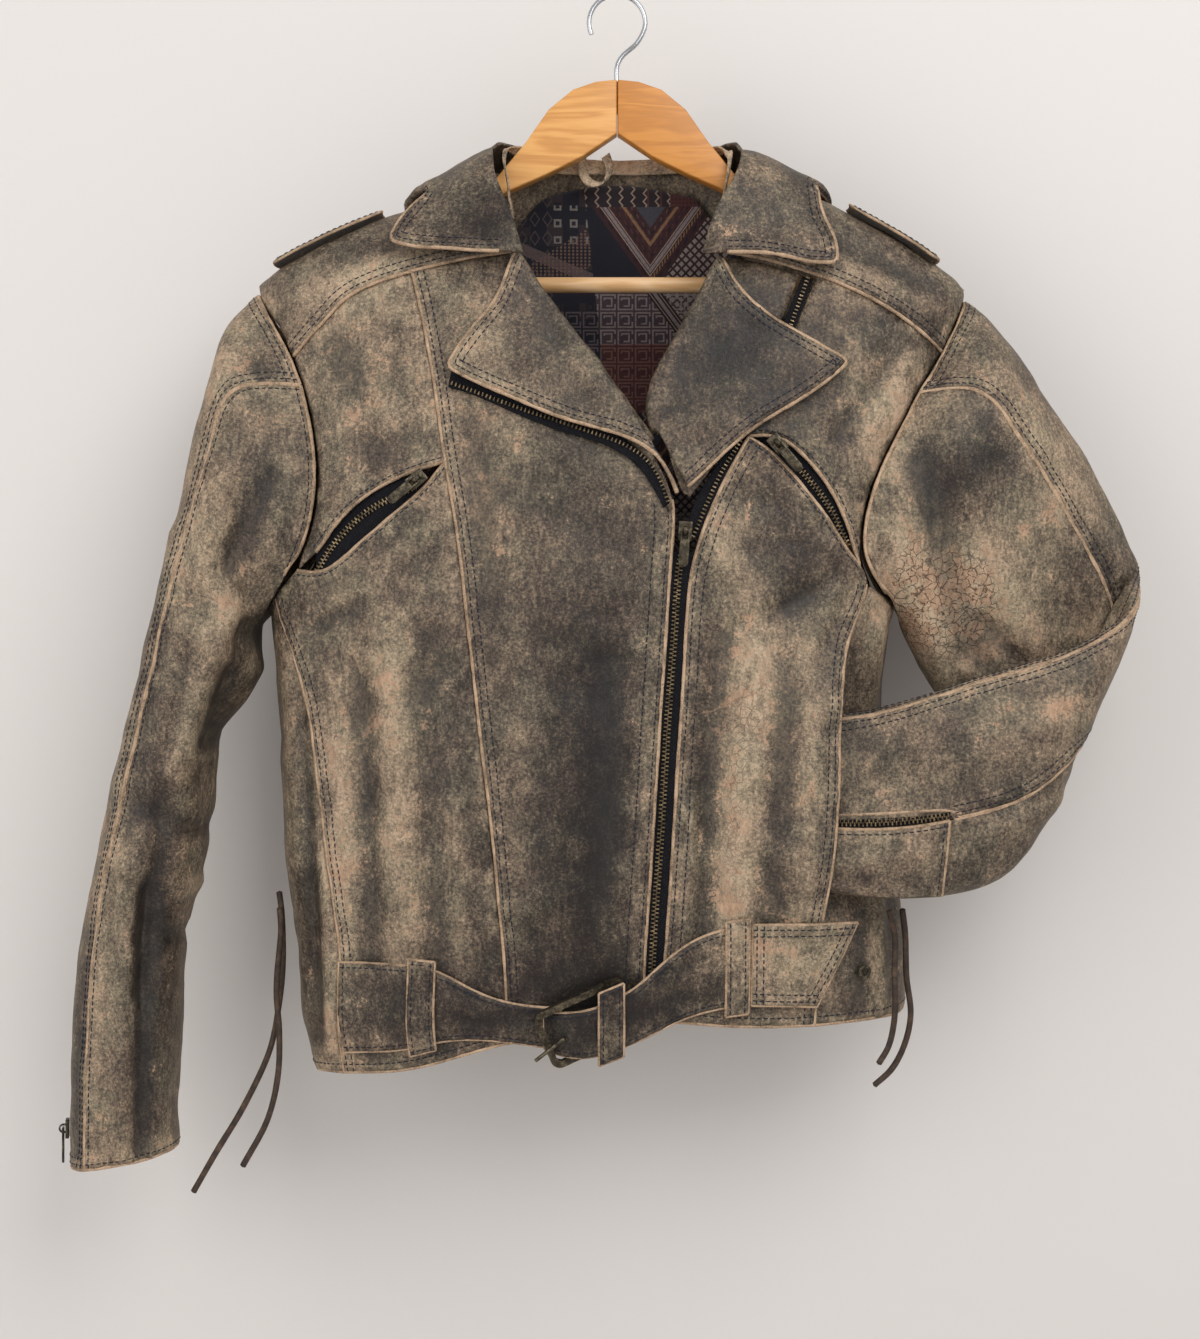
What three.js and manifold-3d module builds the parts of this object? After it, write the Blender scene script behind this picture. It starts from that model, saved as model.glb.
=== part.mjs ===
// Worn leather biker coat on a wooden hanger, in millimetres, +Z up.
// The origin is at the inside of the hook's bend, where a rail carries it. The coat's front faces -Y.
// "right" and "left" are the wearer's, so right is at -X.
import * as THREE from 'three';
import { mergeVertices } from 'three/addons/utils/BufferGeometryUtils.js';
import Module from 'manifold-3d';

const wasm = await Module();
wasm.setup();

// ---- driving dimensions -------------------------------------------------------------------------
const leather = 2;            // thickness of the hide
const seamInset = 0.45;       // each piece stops this far short of its seam
const liningCloth = 1;        // thickness of the lining
const layer = 2.6;            // rise from one layer of leather to the next
const armRing = 18;           // segments round a sleeve
const bodyCorner = 2.6;       // exponent of the body's section, 2 is an ellipse
const hookBend = 18;          // inner radius of the hanger's hook
const hookWire = 3.4;
const barRadius = 5.5;
const barLevel = -201.6;
const laceSize = 4.2;
const pocketRise = 17;        // how far the left front stands out where the cuff is tucked in
const pocketSink = 13;        // how far the side panel gives way behind the tucked cuff

// ---- the body's section at each height ------------------------------------------------------------
// Rows of [z, value], from the neck down, joined by a smooth curve.
function profile(rows) {
  const last = rows.length - 1;
  const slope = (k) =>
    k <= 0 || k >= last ? 0 : (rows[k + 1][1] - rows[k - 1][1]) / (rows[k + 1][0] - rows[k - 1][0]);
  return (z) => {
    if (z >= rows[0][0]) return rows[0][1];
    if (z <= rows[last][0]) return rows[last][1];
    let k = 0;
    while (z < rows[k + 1][0]) k += 1;
    const span = rows[k + 1][0] - rows[k][0];
    const s = (z - rows[k][0]) / span;
    const [a, b] = [rows[k][1], rows[k + 1][1]];
    const [da, db] = [slope(k) * span, slope(k + 1) * span];
    return a + s * da + s * s * (3 * b - 3 * a - 2 * da - db) + s * s * s * (2 * a - 2 * b + da + db);
  };
}

const rightSide = profile([
  [-105, -62], [-119, -85], [-150, -149], [-166, -190], [-178, -216], [-190, -238], [-203, -250],
  [-260, -243], [-330, -238], [-423, -242], [-473, -237], [-550, -234], [-617, -231], [-671, -223],
  [-715, -222], [-750, -210],
]);
const leftSide = profile([
  [-105, 62], [-119, 85], [-145, 149], [-163, 184], [-176, 206], [-188, 223], [-205, 243],
  [-260, 225], [-330, 208], [-400, 196], [-480, 191], [-560, 196], [-640, 202], [-690, 202], [-750, 194],
]);
const frontDepth = profile([
  [-105, 22], [-119, 26], [-150, 36], [-205, 50], [-260, 62], [-330, 72], [-423, 78], [-520, 80],
  [-620, 78], [-700, 70], [-750, 62],
]);
const backDepth = profile([
  [-105, 32], [-119, 36], [-150, 42], [-205, 50], [-300, 58], [-423, 62], [-560, 62], [-700, 58], [-750, 54],
]);

function section(z) {
  const [a, b] = [rightSide(z), leftSide(z)];
  return { middle: (a + b) / 2, half: (b - a) / 2, front: frontDepth(z), back: backDepth(z) };
}

// Below 1 inside the body's surface, above 1 outside it.
function reach(x, y, z) {
  const s = section(z);
  const across = Math.abs((x - s.middle) / s.half) ** bodyCorner;
  return across + Math.abs(y / (y < 0 ? s.front : s.back)) ** bodyCorner;
}

function bodyNormal(p) {
  const step = 0.5;
  const d = (dx, dy, dz) => reach(p.x + dx, p.y + dy, p.z + dz) - reach(p.x - dx, p.y - dy, p.z - dz);
  return new THREE.Vector3(d(step, 0, 0), d(0, step, 0), d(0, 0, step)).normalize();
}

// Large soft folds of the body: a ridge or trough along a line, by its ends, width and height.
const bodyFolds = [
  { from: [-158, -440], to: [-150, -640], width: 20, height: 4 },
  { from: [-178, -470], to: [-172, -700], width: 14, height: -3 },
  { from: [-128, -560], to: [-118, -655], width: 14, height: -2.5 },
  { from: [90, -420], to: [70, -620], width: 24, height: -3 },
  { from: [-20, -520], to: [-30, -660], width: 26, height: 2.5 },
  { from: [110, -660], to: [60, -680], width: 16, height: -2 },
];

function foldRise(p) {
  let rise = 0;
  for (const fold of bodyFolds) {
    const [dx, dz] = [fold.to[0] - fold.from[0], fold.to[1] - fold.from[1]];
    const t = ((p.x - fold.from[0]) * dx + (p.z - fold.from[1]) * dz) / (dx * dx + dz * dz);
    const kept = Math.min(Math.max(t, 0), 1);
    const away = Math.hypot(p.x - fold.from[0] - kept * dx, p.z - fold.from[1] - kept * dz) / fold.width;
    rise += fold.height * Math.exp(-away * away);
  }
  return p.y < 0 ? rise : 0.8 * rise;
}

// The point's place on the body, moved out by lift.
function onBody(p, lift = 0) {
  const s = section(p.z);
  const k = reach(p.x, p.y, p.z) ** (-1 / bodyCorner);
  const q = new THREE.Vector3(s.middle + (p.x - s.middle) * k, p.y * k, p.z);
  return q.addScaledVector(bodyNormal(q), foldRise(q) + lift);
}

function onFace(x, z, sign) {
  const s = section(z);
  const across = Math.min(Math.abs((x - s.middle) / s.half), 1) ** bodyCorner;
  return new THREE.Vector3(x, sign * (sign < 0 ? s.front : s.back) * (1 - across) ** (1 / bodyCorner), z);
}
const onFront = ([x, z]) => onFace(x, z, -1);
const onBack = ([x, z]) => onFace(x, z, 1);
const at = (...list) => list.map(([x, y, z]) => new THREE.Vector3(x, y, z));

// ---- sheets -----------------------------------------------------------------------------------------
const curve = (points) => new THREE.CatmullRomCurve3(points, false, 'centripetal');

// A seam stretch is sampled once, so that the pieces on both sides of it share its points.
const stretch = (points, count) => curve(points).getSpacedPoints(count);
const joined = (...stretches) => stretches.reduce((all, next) => [...all, ...next.slice(1)]);
const backwards = (points) => [...points].reverse();

// A grid of points between four sampled edges. Left and right run up, bottom and top from left to right.
function patch({ bottom: b, top: t, left: l, right: r }) {
  const across = b.length - 1;
  const up = l.length - 1;
  const grid = [];
  for (let j = 0; j <= up; j += 1) {
    const v = j / up;
    const row = [];
    for (let i = 0; i <= across; i += 1) {
      const u = i / across;
      const p = new THREE.Vector3();
      p.addScaledVector(b[i], 1 - v).addScaledVector(t[i], v);
      p.addScaledVector(l[j], 1 - u).addScaledVector(r[j], u);
      p.addScaledVector(b[0], -(1 - u) * (1 - v)).addScaledVector(b[across], -u * (1 - v));
      p.addScaledVector(t[0], -(1 - u) * v).addScaledVector(t[across], -u * v);
      row.push(p);
    }
    grid.push(row);
  }
  return grid;
}

// Draws a grid's edges back from their seams.
function inset(grid, amount = seamInset) {
  const up = grid.length - 1;
  const across = grid[0].length - 1;
  const pulled = grid.map((row) => row.map((p) => p.clone()));
  const draw = (j, i, dj, di) => {
    const toward = grid[j + dj][i + di].clone().sub(grid[j][i]).normalize();
    pulled[j][i].addScaledVector(toward, amount);
  };
  for (let i = 0; i <= across; i += 1) {
    draw(0, i, 1, 0);
    draw(up, i, -1, 0);
  }
  for (let j = 0; j <= up; j += 1) {
    draw(j, 0, 0, 1);
    draw(j, across, 0, -1);
  }
  return pulled;
}

function gridNormals(grid, outward) {
  const up = grid.length - 1;
  const across = grid[0].length - 1;
  return grid.map((row, j) => row.map((p, i) => {
    const along = grid[j][Math.min(i + 1, across)].clone().sub(grid[j][Math.max(i - 1, 0)]);
    const rise = grid[Math.min(j + 1, up)][i].clone().sub(grid[Math.max(j - 1, 0)][i]);
    return along.cross(rise).normalize().multiplyScalar(outward);
  }));
}

// A closed wall of even thickness. The grid is its outer face and the normals point out of it.
function wallOf(grid, normals, thickness) {
  const up = grid.length;
  const across = grid[0].length;
  const position = [];
  const place = (p) => position.push(p.x, p.y, p.z);
  grid.forEach((row) => row.forEach(place));
  grid.forEach((row, j) => row.forEach((p, i) => place(p.clone().addScaledVector(normals[j][i], -thickness))));
  const outer = (j, i) => j * across + i;
  const inner = (j, i) => up * across + j * across + i;
  const index = [];
  const quad = (a, b, c, d) => index.push(a, b, c, a, c, d);
  for (let j = 0; j < up - 1; j += 1) {
    for (let i = 0; i < across - 1; i += 1) {
      quad(outer(j, i), outer(j, i + 1), outer(j + 1, i + 1), outer(j + 1, i));
      quad(inner(j, i), inner(j + 1, i), inner(j + 1, i + 1), inner(j, i + 1));
    }
  }
  for (let i = 0; i < across - 1; i += 1) {
    quad(outer(0, i), inner(0, i), inner(0, i + 1), outer(0, i + 1));
    quad(outer(up - 1, i), outer(up - 1, i + 1), inner(up - 1, i + 1), inner(up - 1, i));
  }
  for (let j = 0; j < up - 1; j += 1) {
    quad(outer(j, 0), outer(j + 1, 0), inner(j + 1, 0), inner(j, 0));
    quad(outer(j, across - 1), inner(j, across - 1), inner(j + 1, across - 1), outer(j + 1, across - 1));
  }
  const geometry = new THREE.BufferGeometry();
  geometry.setAttribute('position', new THREE.Float32BufferAttribute(position, 3));
  geometry.setIndex(index);
  return faceOut(geometry);
}

function faceOut(geometry) {
  const p = geometry.attributes.position;
  const index = geometry.index;
  let volume = 0;
  const [a, b, c] = [new THREE.Vector3(), new THREE.Vector3(), new THREE.Vector3()];
  for (let k = 0; k < index.count; k += 3) {
    a.fromBufferAttribute(p, index.getX(k));
    b.fromBufferAttribute(p, index.getX(k + 1));
    c.fromBufferAttribute(p, index.getX(k + 2));
    volume += a.dot(b.cross(c));
  }
  if (volume < 0) {
    for (let k = 0; k < index.count; k += 3) {
      const [second, third] = [index.getX(k + 1), index.getX(k + 2)];
      index.setX(k + 1, third);
      index.setX(k + 2, second);
    }
  }
  geometry.computeVertexNormals();
  return geometry;
}

// ---- materials and the group ------------------------------------------------------------------------
const finish = (color, roughness, metalness = 0) =>
  new THREE.MeshStandardMaterial({ color, roughness, metalness, side: THREE.DoubleSide });
const hide = finish('#6f6655', 0.75);
const darkHide = finish('#4b463c', 0.7);
const fabricTape = finish('#1b1b20', 0.9);
const liningFabric = finish('#3a2228', 0.8);
const antique = finish('#4b4438', 0.5, 0.9);
const thong = finish('#4a3a2c', 0.8);
const pine = finish('#d9953f', 0.45);
const palePine = finish('#e6b877', 0.5);
const steel = finish('#b8b8b4', 0.3, 1);

const coat = new THREE.Group();
function add(name, geometry, material) {
  const mesh = new THREE.Mesh(geometry, material);
  mesh.name = name;
  coat.add(mesh);
  return mesh;
}

// A piece of leather lying on the body. lift is a length or a function of a point.
function bodyPiece(name, edges, { lift = 0, thickness = leather, material = hide } = {}) {
  const liftAt = typeof lift === 'function' ? lift : () => lift;
  const flat = inset(patch(edges));
  const grid = flat.map((row) => row.map((p) => onBody(p, liftAt(p))));
  const normals = grid.map((row) => row.map((p) => bodyNormal(p)));
  return add(name, wallOf(grid, normals, thickness), material);
}

function freePiece(name, grid, thickness, material, outward = 1) {
  return add(name, wallOf(grid, gridNormals(grid, outward), thickness), material);
}

const smooth = (a, b, v) => THREE.MathUtils.smoothstep(v, Math.min(a, b), Math.max(a, b));

// ---- seam lines, as [x, z] on the front or back ----------------------------------------------------------
const shoulderRight = new THREE.Vector3(-250, 0, -203);
const shoulderLeft = new THREE.Vector3(243, 0, -205);
const underarmRight = new THREE.Vector3(-241, 0, -424);
const underarmLeft = new THREE.Vector3(194, 0, -428);
const neckRight = new THREE.Vector3(rightSide(-122), 0, -122);
const neckLeft = new THREE.Vector3(leftSide(-122), 0, -122);
const fronts = (...points) => points.map(onFront);
const backs = (...points) => points.map(onBack);

// Points where seams meet.
const pocketFootRight = [-218, -403];
const pocketFootLeft = [163, -400];
const yokeEndRight = [-222, -257];
const yokeEndLeft = [224, -252];
const backYokeRight = [-220, -262];
const backYokeLeft = [206, -262];
const armFootRight = [-237, -421];
const armFootLeft = [188, -425];
const sideTopLeft = [172, -414];
const princessPocket = [-116, -332];
const princessHead = [-140, -201];
const rollFootRight = [39, -357];
const pocketHeadLeft = [87, -315];
const yokeZipLeft = [135, -203];
const rollHeadRight = [-72, -187];
const rollHeadLeft = [71, -187];

const seams = {
  armUpperRight: stretch([shoulderRight, ...fronts([-237, -229], yokeEndRight)], 4),
  armMiddleRight: stretch(fronts(yokeEndRight, [-212, -285], [-203, -329], [-205, -370], pocketFootRight), 6),
  armLowerRight: stretch(fronts(pocketFootRight, [-229, -415], armFootRight), 2),
  underRight: stretch([onFront(armFootRight), underarmRight, onBack(armFootRight)], 6),
  armBackLowerRight: stretch(backs(armFootRight, [-216, -398], [-206, -350], [-208, -305], backYokeRight), 5),
  armBackUpperRight: stretch([...backs(backYokeRight, [-237, -229]), shoulderRight], 3),
  armUpperLeft: stretch([shoulderLeft, ...fronts([234, -230], yokeEndLeft)], 4),
  armMiddleLeft: stretch(fronts(yokeEndLeft, [210, -273], [192, -307], [174, -339], [165, -370], pocketFootLeft), 6),
  armLowerLeft: stretch(fronts(pocketFootLeft, sideTopLeft), 1),
  underLeft: stretch([...fronts(sideTopLeft, armFootLeft), underarmLeft, onBack(armFootLeft)], 6),
  armBackLowerLeft: stretch(backs(armFootLeft, [173, -395], [174, -350], [188, -300], backYokeLeft), 5),
  armBackUpperLeft: stretch([...backs(backYokeLeft, [230, -232]), shoulderLeft], 3),
  hemRight: stretch(fronts([-187, -746], [-148, -743], [-120, -736], [-94, -727], [-75, -722]), 6),
  hemMiddle: stretch(fronts([-75, -722], [-39, -717], [17, -713]), 4),
  hemLeft: stretch(fronts([28, -706], [60, -709], [92, -711], [133, -711]), 7),
  princessLower: stretch(
    fronts([-75, -722], [-75, -683], [-82, -597], [-90, -529], [-103, -415], [-109, -368], princessPocket), 13),
  princessUpper: stretch(fronts(princessPocket, [-123, -282], [-132, -233], princessHead), 6),
  sideRight: stretch(fronts([-187, -746], [-188, -665], [-195, -607], [-202, -556], [-207, -512], [-216, -472],
    [-228, -440], armFootRight), 11),
  sideLeft: stretch(fronts([133, -711], [135, -636], [141, -570], [143, -490], [152, -456], [163, -432],
    sideTopLeft), 12),
  backRight: stretch(backs([-170, -741], [-176, -665], [-190, -560], [-205, -480], [-226, -440], armFootRight), 11),
  backLeft: stretch(backs([160, -703], [164, -640], [160, -560], [162, -480], [176, -445], armFootLeft), 12),
  pocketUpperRight: stretch(
    fronts(pocketFootRight, [-203, -392], [-187, -369], [-162, -349], [-138, -338], princessPocket), 6),
  pocketLowerRight: stretch(
    fronts(pocketFootRight, [-199, -407], [-178, -390], [-154, -369], [-130, -350], princessPocket), 6),
  pocketUpperLeft: stretch(
    fronts(pocketHeadLeft, [109, -313], [126, -328], [145, -351], [157, -379], pocketFootLeft), 6),
  pocketLowerLeft: stretch(
    fronts(pocketHeadLeft, [99, -321], [120, -343], [142, -370], [155, -391], pocketFootLeft), 7),
  zipRight: stretch(fronts([17, -713], [18, -666], [25, -555], [30, -479], [35, -403], rollFootRight), 12),
  rollRight: stretch(fronts(rollFootRight, [20, -320], [7, -299], [-17, -266], [-39, -236], rollHeadRight), 7),
  zipLeft: stretch(fronts([28, -706], [31, -661], [37, -569], [43, -477], [48, -403], [54, -382], [72, -341],
    pocketHeadLeft), 13),
  zipLeftTop: stretch(fronts(pocketHeadLeft, [105, -277], [121, -237], yokeZipLeft), 6),
  yokeOuterRight: stretch(fronts(yokeEndRight, [-199, -234], [-189, -220], [-161, -207], princessHead), 6),
  yokeInnerRight: stretch(fronts(princessHead, [-105, -192], rollHeadRight), 4),
  yokeInnerLeft: stretch(fronts(rollHeadLeft, [105, -193], yokeZipLeft), 4),
  yokeOuterLeft: stretch(fronts(yokeZipLeft, [165, -215], [190, -228], [213, -243], yokeEndLeft), 6),
  neckFrontRight: stretch([...fronts(rollHeadRight, [-82, -150]), neckRight], 4),
  neckFrontLeft: stretch([...fronts(rollHeadLeft, [81, -150]), neckLeft], 4),
};
const ridgeRight = [shoulderRight, ...[[-238, -190], [-216, -178], [-190, -166], [-149, -150]]
  .map(([x, z]) => new THREE.Vector3(x, 0, z)), neckRight];
const ridgeLeft = [neckLeft, ...[[149, -145], [184, -163], [206, -176], [223, -188]]
  .map(([x, z]) => new THREE.Vector3(x, 0, z)), shoulderLeft];

// ---- body pieces ------------------------------------------------------------------------------------
// The left front stands out over the tucked cuff, and the side panel gives way behind it.
const cuffZone = (z) => smooth(-655, -615, z) * (1 - smooth(-490, -450, z));
const pocketLift = (p) => pocketRise * smooth(60, 128, p.x) * cuffZone(p.z);
const sideSink = (p) => -pocketSink * cuffZone(p.z) * (1 - smooth(-25, 10, p.y));

function bodyPieces() {
  const s = seams;
  bodyPiece('front_right_centre', {
    bottom: s.hemMiddle,
    top: s.yokeInnerRight,
    left: joined(s.princessLower, s.princessUpper),
    right: joined(s.zipRight, s.rollRight),
  });
  bodyPiece('front_right_lower', {
    bottom: s.hemRight,
    top: s.pocketLowerRight,
    left: joined(s.sideRight, backwards(s.armLowerRight)),
    right: s.princessLower,
  });
  bodyPiece('front_right_chest', {
    bottom: s.pocketUpperRight,
    top: s.yokeOuterRight,
    left: backwards(s.armMiddleRight),
    right: s.princessUpper,
  });
  bodyPiece('front_right_yoke', {
    bottom: joined(s.yokeOuterRight, s.yokeInnerRight),
    top: stretch(ridgeRight, 10),
    left: backwards(s.armUpperRight),
    right: s.neckFrontRight,
  });
  bodyPiece('front_left_lower', {
    bottom: s.hemLeft,
    top: s.pocketLowerLeft,
    left: s.zipLeft,
    right: joined(s.sideLeft, backwards(s.armLowerLeft)),
  }, { lift: pocketLift });
  bodyPiece('front_left_chest', {
    bottom: s.pocketUpperLeft,
    top: s.yokeOuterLeft,
    left: s.zipLeftTop,
    right: backwards(s.armMiddleLeft),
  });
  bodyPiece('front_left_underlap', {
    bottom: stretch(fronts([42, -352], [48, -356]), 3),
    top: stretch(fronts([73, -190], [98, -194], [124, -202]), 3),
    left: stretch(fronts([42, -352], [32, -322], [28, -296], [46, -247], [62, -215], [73, -190]), 9),
    right: stretch(fronts([48, -356], [62, -338], [76, -315], [94, -277], [110, -237], [124, -202]), 9),
  });
  bodyPiece('front_left_yoke', {
    bottom: joined(s.yokeInnerLeft, s.yokeOuterLeft),
    top: stretch(ridgeLeft, 10),
    left: s.neckFrontLeft,
    right: backwards(s.armUpperLeft),
  });
  bodyPiece('side_right', {
    bottom: stretch([...fronts([-187, -746]), new THREE.Vector3(-210, 0, -748), ...backs([-170, -741])], 6),
    top: s.underRight,
    left: s.sideRight,
    right: s.backRight,
  });
  bodyPiece('side_left', {
    bottom: stretch([...fronts([133, -711]), new THREE.Vector3(199, 0, -705), ...backs([160, -703])], 6),
    top: s.underLeft,
    left: s.sideLeft,
    right: s.backLeft,
  }, { lift: sideSink });
  const backYokeSeam = (count) =>
    stretch(backs(backYokeLeft, [100, -254], [0, -251], [-110, -254], backYokeRight), count);
  bodyPiece('back', {
    bottom: stretch(backs([160, -703], [80, -712], [0, -716], [-90, -728], [-170, -741]), 12),
    top: backYokeSeam(12),
    left: joined(s.backLeft, stretch(s.armBackLowerLeft, 4)),
    right: joined(s.backRight, s.armBackLowerRight),
  });
  bodyPiece('back_yoke', {
    bottom: backYokeSeam(22),
    top: joined(
      stretch(backwards(ridgeLeft), 8),
      stretch([neckLeft, ...backs([60, -116], [0, -113], [-60, -116]), neckRight], 6),
      stretch(backwards(ridgeRight), 8),
    ),
    left: s.armBackUpperLeft,
    right: s.armBackUpperRight,
  });
}

// ---- sleeves ------------------------------------------------------------------------------------------
// A ring is given by its outer and inner edge points as [x, z], the depth of its middle and its half depth.
function ring({ outer, inner, middle, half, turn = [0, -1, 0], corner = 2.3 }) {
  const [o, i] = [outer, inner].map(([x, z]) => new THREE.Vector3(x, middle, z));
  const centre = o.clone().add(i).multiplyScalar(0.5);
  const side = o.clone().sub(i).multiplyScalar(0.5);
  const face = new THREE.Vector3(...turn).multiplyScalar(half);
  const power = (v) => Math.sign(v) * Math.abs(v) ** (2 / corner);
  const points = [];
  for (let k = 0; k <= armRing; k += 1) {
    const a = (2 * Math.PI * k) / armRing;
    points.push(centre.clone().addScaledVector(side, power(Math.cos(a))).addScaledVector(face, power(Math.sin(a))));
  }
  return points;
}

function armholeRing(front, back) {
  const raise = (p) => onBody(p, layer + 0.4 + 2.6 * (1 - smooth(-424, -385, p.z)));
  const f = curve(front).getSpacedPoints(armRing / 2).map(raise);
  const b = curve(back).getSpacedPoints(armRing / 2).map(raise);
  return [...f, ...b.slice(1)];
}

// A length of sleeve cloth, from ring to ring and from column to column.
function sleevePiece(name, rings, [ringFrom, ringTo], [columnFrom, columnTo], outward, options = {}) {
  const { lift = 0, thickness = leather, material = hide } = options;
  const rows = rings.slice(ringFrom, ringTo + 1);
  const normals = gridNormals(rings, outward).slice(ringFrom, ringTo + 1);
  const wrap = (k) => ((k % armRing) + armRing) % armRing;
  const columns = [];
  for (let k = columnFrom; k <= columnTo; k += 1) columns.push(wrap(k));
  const grid = inset(rows.map((row) => columns.map((k) => row[k])));
  const out = normals.map((row) => columns.map((k) => row[k]));
  const raised = grid.map((row, j) => row.map((p, i) => p.addScaledVector(out[j][i], lift)));
  return add(name, wallOf(raised, out, thickness), material);
}

function rightSleeve() {
  const edges = [
    [[-267, -225], [-250, -446], 54], [[-275, -255], [-251, -466], 57], [[-287, -297], [-255, -485], 59],
    [[-302, -360], [-268, -503], 60], [[-315, -425], [-281, -523], 59], [[-328, -475], [-284, -551], 57],
    [[-342, -524], [-286, -585], 53], [[-354, -573], [-293, -612], 50], [[-366, -628], [-302, -645], 47],
    [[-374, -672], [-305, -682], 44], [[-377, -725], [-305, -728], 42], [[-378, -772], [-310, -770], 41],
    [[-379, -815], [-308, -803], 40],
  ];
  const s = seams;
  const loop = armholeRing(
    joined(s.armUpperRight, s.armMiddleRight, s.armLowerRight, s.underRight.slice(0, 4)),
    joined(s.underRight.slice(3), s.armBackLowerRight, s.armBackUpperRight),
  );
  return [loop, ...edges.map(([outer, inner, half]) => ring({ outer, inner, middle: -4, half }))];
}

// The bent sleeve: the upper arm hangs behind, folds over at the elbow, and the forearm lies in front of it.
function leftSleeve() {
  const upper = [
    [[262, -226], [199, -440], 0, 52.4], [[287, -263], [206, -458], 2, 50.8], [[309, -293], [222, -481], 4, 45.6],
    [[331, -327], [242, -503], 6, 38.4], [[348, -358], [262, -527], 7, 30], [[361, -385], [280, -549], 7, 22],
    [[367, -401], [290, -563], 4, 16],
  ];
  const forearm = [
    [[352, -430], [289, -574], -43, 16], [[331, -445], [279, -589], -50, 18], [[306, -458], [268, -605], -53, 20],
    [[281, -467], [254, -614], -54, 21], [[254, -474], [236, -620], -55, 21], [[228, -481], [216, -623], -57, 19],
    [[204, -490], [198, -624], -60, 16], [[178, -497], [173, -624], -61, 12], [[153, -501], [151, -621], -62, 9],
    [[134, -504], [132, -618], -62, 8],
  ];
  const elbow = ring({
    outer: [357, -412], inner: [286, -568], middle: -20, half: 13, turn: [-0.914, 0, 0.406], corner: 2.6,
  });
  const s = seams;
  const loop = armholeRing(
    joined(s.armUpperLeft, s.armMiddleLeft, s.armLowerLeft, s.underLeft.slice(0, 4)),
    joined(s.underLeft.slice(3), s.armBackLowerLeft, s.armBackUpperLeft),
  );
  return [
    loop,
    ...upper.map(([outer, inner, middle, half]) => ring({ outer, inner, middle, half })),
    elbow,
    ...forearm.map(([outer, inner, middle, half]) => ring({ outer, inner, middle, half, turn: [0, 1, 0], corner: 2.6 })),
  ];
}

function sleeves() {
  const right = rightSleeve();
  const left = leftSleeve();
  const rightEnd = right.length - 1;
  const leftEnd = left.length - 1;
  sleevePiece('sleeve_right_outer', right, [0, rightEnd], [-2, 3], 1);
  sleevePiece('sleeve_right_inner', right, [0, rightEnd], [3, 12], 1);
  sleevePiece('sleeve_right_back', right, [0, rightEnd], [12, 16], 1);
  sleevePiece('sleeve_left_outer', left, [0, leftEnd], [-1, 3], -1);
  sleevePiece('sleeve_left_inner', left, [0, leftEnd], [3, 13], -1);
  sleevePiece('sleeve_left_back', left, [0, leftEnd], [13, 17], -1);
  sleevePiece('cuff_panel_left', left, [leftEnd - 4, leftEnd], [10, 13], -1, { lift: -layer });
  cuffZip('cuff_zip_right', right.slice(-5), [0, 1], 1, 1);
  cuffZip('cuff_zip_left', left.slice(-5), [13, 14], -1, -1);
}

// A narrow zip laid along a sleeve, off one column towards the next, on the cloth's one face or the other.
function cuffZip(name, rings, [column, next], outward, face) {
  const width = 6;
  const normals = gridNormals(rings, outward);
  const grid = rings.map((row, j) => {
    const across = row[next].clone().sub(row[column]).normalize();
    const start = row[column].clone().addScaledVector(normals[j][column], face * (layer - 0.4));
    return [0.8, width / 2, width].map((w) => start.clone().addScaledVector(across, w));
  });
  freePiece(name, inset(grid), 1.2, fabricTape, outward);
}


// ---- lapels and collar ----------------------------------------------------------------------------------
// A lapel lies on the front, from its roll out to its point. Its roll turns round the front's edge and inside.
function lapel(name, { lower, roll, left, right }) {
  const flat = patch({ bottom: lower, top: roll, left, right });
  const last = flat.length - 1;
  const rows = flat.map((row, j) => row.map((p) => onBody(p, 5.9 + 2.2 * (1 - j / last))));
  const turn = [[2.6, 4.4], [3.9, 0.6], [2.8, -3.8], [-6, -6]];
  for (const [shift, lift] of turn) {
    rows.push(flat[last].map((p, i) => {
      const along = flat[last][Math.min(i + 1, roll.length - 1)].clone().sub(flat[last][Math.max(i - 1, 0)]);
      const away = bodyNormal(p).cross(along).normalize().multiplyScalar(shift);
      return onBody(p.clone().add(away), lift);
    }));
  }
  freePiece(name, rows, leather, hide);
}

function lapels() {
  lapel('lapel_right', {
    lower: stretch(fronts([-114, -269], [-105, -275], [-73, -289], [-39, -304], [-6, -313], [16, -321], [30, -333],
      [39, -354]), 11),
    roll: stretch(fronts([-70, -190], [-54, -212], [-38, -236], [-16, -266], [8, -299], [21, -319]), 11),
    left: stretch(fronts([-114, -269], [-100, -245], [-84, -229], [-77, -212], [-70, -190]), 5),
    right: stretch(fronts([39, -354], [21, -319]), 5),
  });
  lapel('lapel_left', {
    lower: stretch(fronts([46, -350], [58, -339], [71, -326], [93, -308], [125, -288], [146, -272], [154, -264]), 10),
    roll: stretch(fronts([26, -312], [21, -292], [29, -271], [43, -245], [59, -213], [71, -193]), 10),
    left: stretch(fronts([46, -350], [26, -312]), 5),
    right: stretch(fronts([154, -264], [135, -253], [116, -243], [94, -229], [79, -214], [71, -193]), 5),
  });
}

// Keeps a point at least this far outside the body.
function outside(p, lift) {
  const floor = onBody(p, lift);
  return reach(p.x, p.y, p.z) < reach(floor.x, floor.y, floor.z) ? floor : p;
}

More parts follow.
